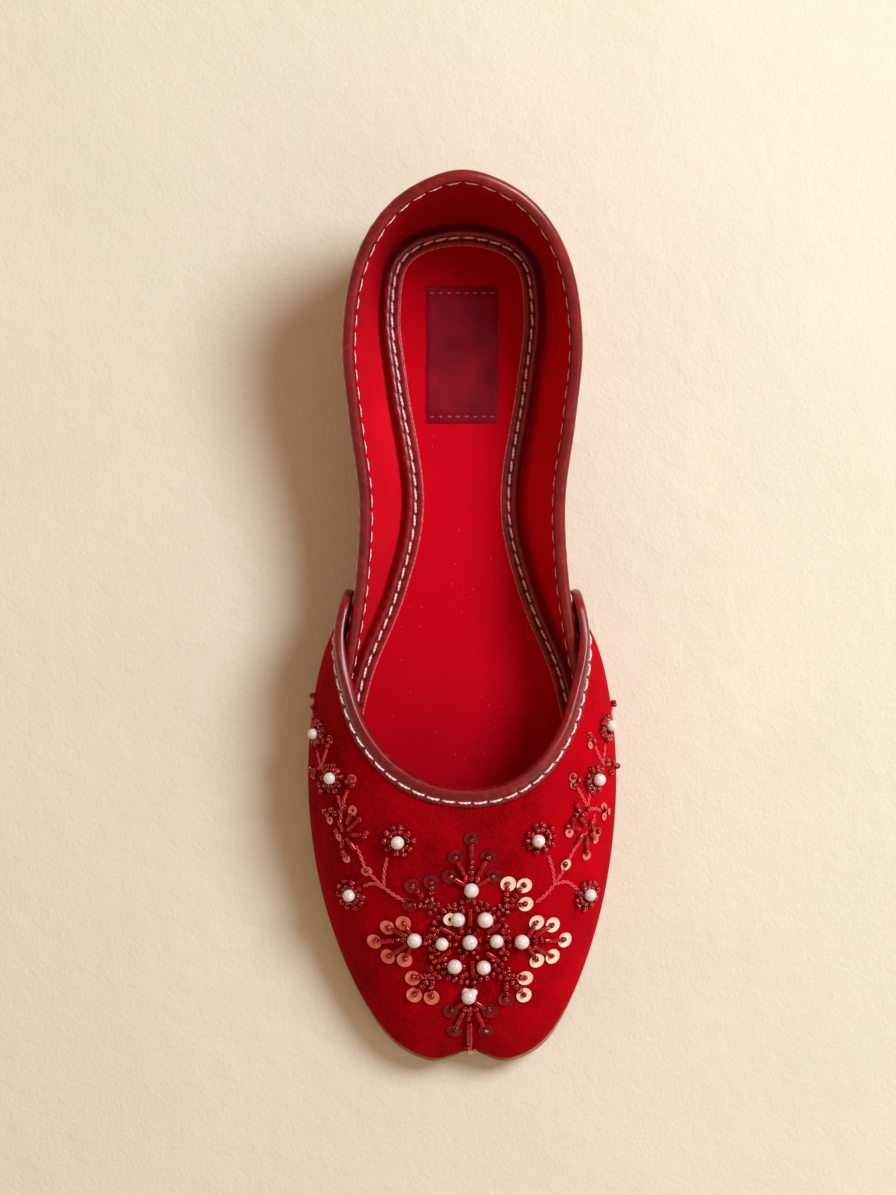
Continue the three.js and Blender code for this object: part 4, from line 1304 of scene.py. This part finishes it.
def medallion(beads):
    def at(x, y):
        return CENTRE + (x, y)

    # The middle: a pearl in a ring of seeds, with six pearls and six bugles round it.
    heart = at(-0.5, -0.1)
    beads.pearl(heart, 4.3)
    for k in range(10):
        place, way = ring_plan(k, 10, 0.3, 3.3, 3.3)
        beads.seed(heart + place, heart + place + way)
    for x, y, size in MIDDLE_PEARLS:
        beads.pearl(at(x, y), size)
    beads.sequin(at(-5.5, 6.3), "pale_sequin", 0.85 * SEQUIN["across"], up=1.9, tilt=0.05)
    for x0, y0, x1, y1 in MIDDLE_BUGLES:
        beads.bugle(at(x0, y0), at(x1, y1))
    for x, y in MIDDLE_SEEDS:
        beads.seed(at(x, y))
    for count, wide, high, gaps in SEED_RINGS:
        for k in range(count):
            place, way = ring_plan(k, count, 0.5, wide, high)
            turn = 360 * (k + 0.5) / count
            if all(abs((turn - gap + 180) % 360 - 180) > 7 for gap in gaps):
                beads.seed(at(*place), at(*place) + way, loose=0.1)
    for x, y, facing, spokes, foil in FANS:
        hub = at(x, y)
        for angle, reach in spokes:
            beads.spoke(hub, facing + angle, reach, foil)
        beads.pearl(hub)
        back = -heading(facing)
        across = np.array([back[1], -back[0]])
        for step, aside in HUB_SEEDS:
            beads.seed(hub + back * step + across * aside)
    # The spoke down to the cleft is longer and thicker, and two small pearls sit behind its hub.
    hub = at(0.3, -16.4)
    beads.bugle(at(0.1, -22.8), at(0.1, -29.2), 1.25)
    beads.seed(at(0.1, -30.0), hub, 1.0)
    for step in (-19.4, -20.7, -21.9):
        beads.seed(at(0.0, step), hub)
    beads.pearl(hub + (-1.15, 1.7), 2.6, 0.5)
    beads.pearl(hub + (1.05, 1.8), 2.7, 0.5)
    for x, y, foils, tips in CORNERS:
        hub = at(x, y)
        for foil, tip in zip(foils, tips):
            spot = at(*tip)
            way = unit(spot - hub)
            beads.sequin(spot, foil + "_sequin", outward=way)
            beads.string(hub + way * 0.7, spot - way * 0.1, 5)
        for step in (0.0, 1.6, -1.6):
            beads.seed(hub + unit(np.array([x, -y])) * step - unit(np.array([x, y])) * 0.9)


# The sprays up the two sides, given one by one and not quite alike: stems through plan points,
# flowers (x, along, size, ring), sequins (x, along, size), bugles (start, end), loose seeds.
SPRAYS = [
    dict(
        stems=[[(21.0, 48.2), (23.6, 50.2), (26.3, 53.4)], [(26.3, 53.4), (25.8, 57.5), (24.6, 61.6)],
               [(26.3, 53.4), (29.6, 54.1), (31.6, 53.0), (33.2, 51.4)],
               [(26.3, 53.4), (28.6, 57.0), (31.6, 62.8), (33.6, 66.0), (35.6, 68.4)],
               [(36.2, 69.4), (37.4, 71.2), (37.6, 73.4)], [(35.6, 75.3), (34.4, 78), (32.8, 81)],
               [(35.6, 75.3), (36.0, 77.4), (36.3, 79.4)], [(36.4, 74.9), (38, 75), (39.4, 74.4)],
               [(40.1, 87.8), (38.9, 90.2), (37.8, 92.8)], [(40.1, 87.8), (40.4, 90.4), (40.7, 93.4)],
               [(40.1, 87.8), (41.6, 87.7), (43.0, 87.3)], [(42.3, 101.6), (42.6, 104), (43.4, 106)]],
        flowers=[(22.9, 66.0, 3.7, 4.0), (36.6, 49.7, 3.5, 4.0), (39.2, 83.1, 3.6, 3.5),
                 (42.6, 98.0, 3.2, 3.2)],
        sequins=[(29.6, 58.9, 3.4), (35.6, 61.6, 2.9), (30.6, 68.2, 3.0), (38.6, 68.2, 3.0),
                 (38.2, 66.0, 2.3), (40.6, 75.5, 2.1), (42.0, 74.1, 2.0), (40.6, 72.7, 2.3),
                 (31.7, 83.9, 2.5), (31.9, 81.6, 2.2), (36.5, 95.6, 2.3), (36.6, 93.1, 2.2)],
        bugles=[((35.6, 67.2), (35.6, 63.6)), ((33.6, 69.0), (31.2, 69.8)), ((35.4, 70.2), (33.6, 72.4)),
                ((36.6, 67.9), (38.0, 66.6)), ((34.4, 67.6), (32.8, 65.2)), ((33.2, 74.9), (32.5, 76.6))],
        seeds=[(35.6, 62.6), (30.0, 69.6), (32.4, 72.9), (31.6, 71.8), (35.0, 73.8), (34.2, 73.2),
               (36.0, 74.6), (33.4, 74.4), (37.4, 69.4), (38.7, 68.4), (33.3, 83.0), (31.6, 84.0),
               (32.2, 81.8), (37.8, 94.4), (36.6, 95.6), (42.6, 85.6), (41.4, 88.4), (43.2, 87.6),
               (44.4, 87.0), (41.0, 74.6), (34.8, 70.8), (36.8, 70.6), (43.7, 106.2), (43.3, 105.2)]),
    dict(
        stems=[[(-16.2, 48.5), (-19.4, 50.2), (-22.4, 52.4)],
               [(-22.4, 52.4), (-22.3, 56.6), (-21.4, 61.2)],
               [(-22.4, 52.4), (-25.2, 53.6), (-28.2, 52.8)],
               [(-22.4, 52.4), (-24.6, 54.6), (-27.4, 57.6), (-29.2, 62.0), (-30.4, 64.4)],
               [(-34.2, 68.4), (-34.6, 71.4), (-34.4, 74.9)],
               [(-34.3, 74.9), (-33.6, 77.6), (-32.6, 80.3)],
               [(-34.3, 74.9), (-35.0, 77.0), (-35.4, 78.8)], [(-34.6, 74.2), (-36.6, 74.0)],
               [(-40.2, 86.7), (-40.7, 89), (-41.3, 91.6)], [(-40.2, 86.7), (-39.2, 89.6), (-38.4, 92.2)],
               [(-40.2, 86.6), (-41.2, 86.4)], [(-42.4, 101.0), (-42.6, 103.4), (-42.8, 105.2)]],
        flowers=[(-18.6, 65.1, 3.8, 4.1), (-32.8, 49.7, 3.5, 4.1), (-38.4, 83.6, 3.4, 3.7),
                 (-42.6, 96.7, 3.2, 3.2)],
        sequins=[(-27.4, 57.1, 3.3), (-33.2, 60.7, 2.6), (-35.9, 68.5, 2.0), (-35.3, 66.9, 2.5),
                 (-31.4, 74.3, 3.0), (-37.9, 71.7, 2.6), (-31.5, 83.6, 3.0), (-37.8, 94.8, 2.6),
                 (-42.4, 84.4, 2.2), (-38.0, 81.6, 2.4)],
        bugles=[((-33.2, 66.6), (-30.6, 63.1)), ((-34.2, 66.3), (-34.5, 63.8)),
                ((-31.6, 67.5), (-28.8, 67.6)), ((-32.7, 68.8), (-29.8, 71.4)),
                ((-34.6, 69.4), (-35.2, 71.8)), ((-32.9, 70.6), (-31.8, 73.4))],
        seeds=[(-34.0, 62.4), (-33.4, 61.4), (-28.0, 67.2), (-27.6, 68.0), (-29.4, 72.0), (-39.3, 74.4),
               (-38.2, 73.1), (-36.4, 73.6), (-37.4, 74.4), (-35.9, 68.6), (-32.7, 82.6), (-31.4, 81.5),
               (-31.8, 84.2), (-39.3, 94.2), (-37.8, 95.0), (-38.2, 92.8), (-43.4, 86.2), (-42.2, 86.0),
               (-42.6, 84.4), (-40.2, 80.0), (-40.6, 81.6), (-42.9, 106.0), (-42.7, 104.2),
               (-34.0, 75.4)]),
]


def sprays(beads):
    for spray in SPRAYS:
        for plan in spray["stems"]:
            beads.stem(*plan)
        for x, along, size, ring in spray["flowers"]:
            beads.flower((x, along), size, ring)
        for x, along, size in spray["sequins"]:
            # Painted reflection: the larger sequins on the right take the pale foil that mirrors the
            # lamp, and all others the copper-red one.
            pale = x > 0 and size >= 3.2
            beads.sequin((x, along), "pale_sequin" if pale else "copper_sequin", size, tilt=0.25)
        for start, end in spray["bugles"]:
            beads.bugle(start, end, 0.9)
        for at in spray["seeds"]:
            beads.seed(at)
        beads.seed(spray["sequins"][0][:2], up=1.0)  # it holds down the sequin on the stem


def make_beadwork(outer):
    beads = Beads(outer)
    medallion(beads)
    sprays(beads)
    hole_up = np.array([[0.0, 0, 1], [1, 0, 0], [0, 1, 0]])
    for x, along in IN_CLEFT:
        beads.add("gold_seed", (x, along, sole_top(along) + GOLD_BEAD["up"]), hole_up, 1)
    beads.finish()


# ---- Camera, light and floor ------------------------------------------------------------
CAMERA_PLACE = (-0.0041, 0.0083, 0.9)  # in metres; it looks straight down
CAMERA_LENS, SENSOR_WIDTH = 91.9, 36
# (place in metres, size, watts, colour) of the disks of light, which face the shoe
LAMPS = {
    "key": ((0.65, 0.451, 0.902), 0.50, 12.9, (0.95, 1.02, 1.06)),
    "side": ((0.9, -0.75, 0.8), 1.0, 2.0, (1.0, 0.97, 0.92)),
}
STUDIO_COLOUR, STUDIO_STRENGTH = (1.0, 0.66, 0.40, 1), 0.45


def place_in_scene(name, data, place):
    obj = bpy.data.objects.new(name, data)
    obj.location = place
    bpy.context.scene.collection.objects.link(obj)
    return obj


def paper_material():
    made = material("paper", (0.80, 0.76, 0.67), 0.9, Specular_IOR_Level=0.1)
    n = Nodes(made)
    n.finish(colour=n.ramp(n.noise(60, 3), (0.3, (0.78, 0.735, 0.625)), (0.7, (0.82, 0.77, 0.66))),
             normal=n.bump(n.noise(1.1, 4), 0.18, 1.0, n.bump(n.noise(7, 3), 0.8, 0.5)))
    return made


def make_stage():
    bpy.ops.mesh.primitive_plane_add(size=6, location=(0, 0, 0))
    floor = bpy.context.object
    floor.name = "floor"
    floor.data.materials.append(paper_material())

    camera = place_in_scene("camera", bpy.data.cameras.new("camera"), CAMERA_PLACE)
    camera.data.lens, camera.data.sensor_width = CAMERA_LENS, SENSOR_WIDTH
    bpy.context.scene.camera = camera

    for name, (place, size, watts, colour) in LAMPS.items():
        lamp = bpy.data.lights.new(name, "AREA")
        lamp.shape = "DISK"
        lamp.size, lamp.energy, lamp.color = size, watts, colour
        turn = Vector(place).to_track_quat("Z", "Y").to_euler()
        place_in_scene(name, lamp, place).rotation_euler = turn

    world = bpy.data.worlds.new("studio")
    world.use_nodes = True
    background = world.node_tree.nodes["Background"]
    background.inputs["Color"].default_value = STUDIO_COLOUR
    background.inputs["Strength"].default_value = STUDIO_STRENGTH
    bpy.context.scene.world = world
    bpy.context.scene.view_settings.view_transform = "Standard"


make_stage()
make_outsole()
make_heel()
make_insole()
make_insole_binding()
vamp_outer = make_vamp()
make_quarter()
make_lining_turning()
make_bindings()
make_label()
make_beadwork(vamp_outer)
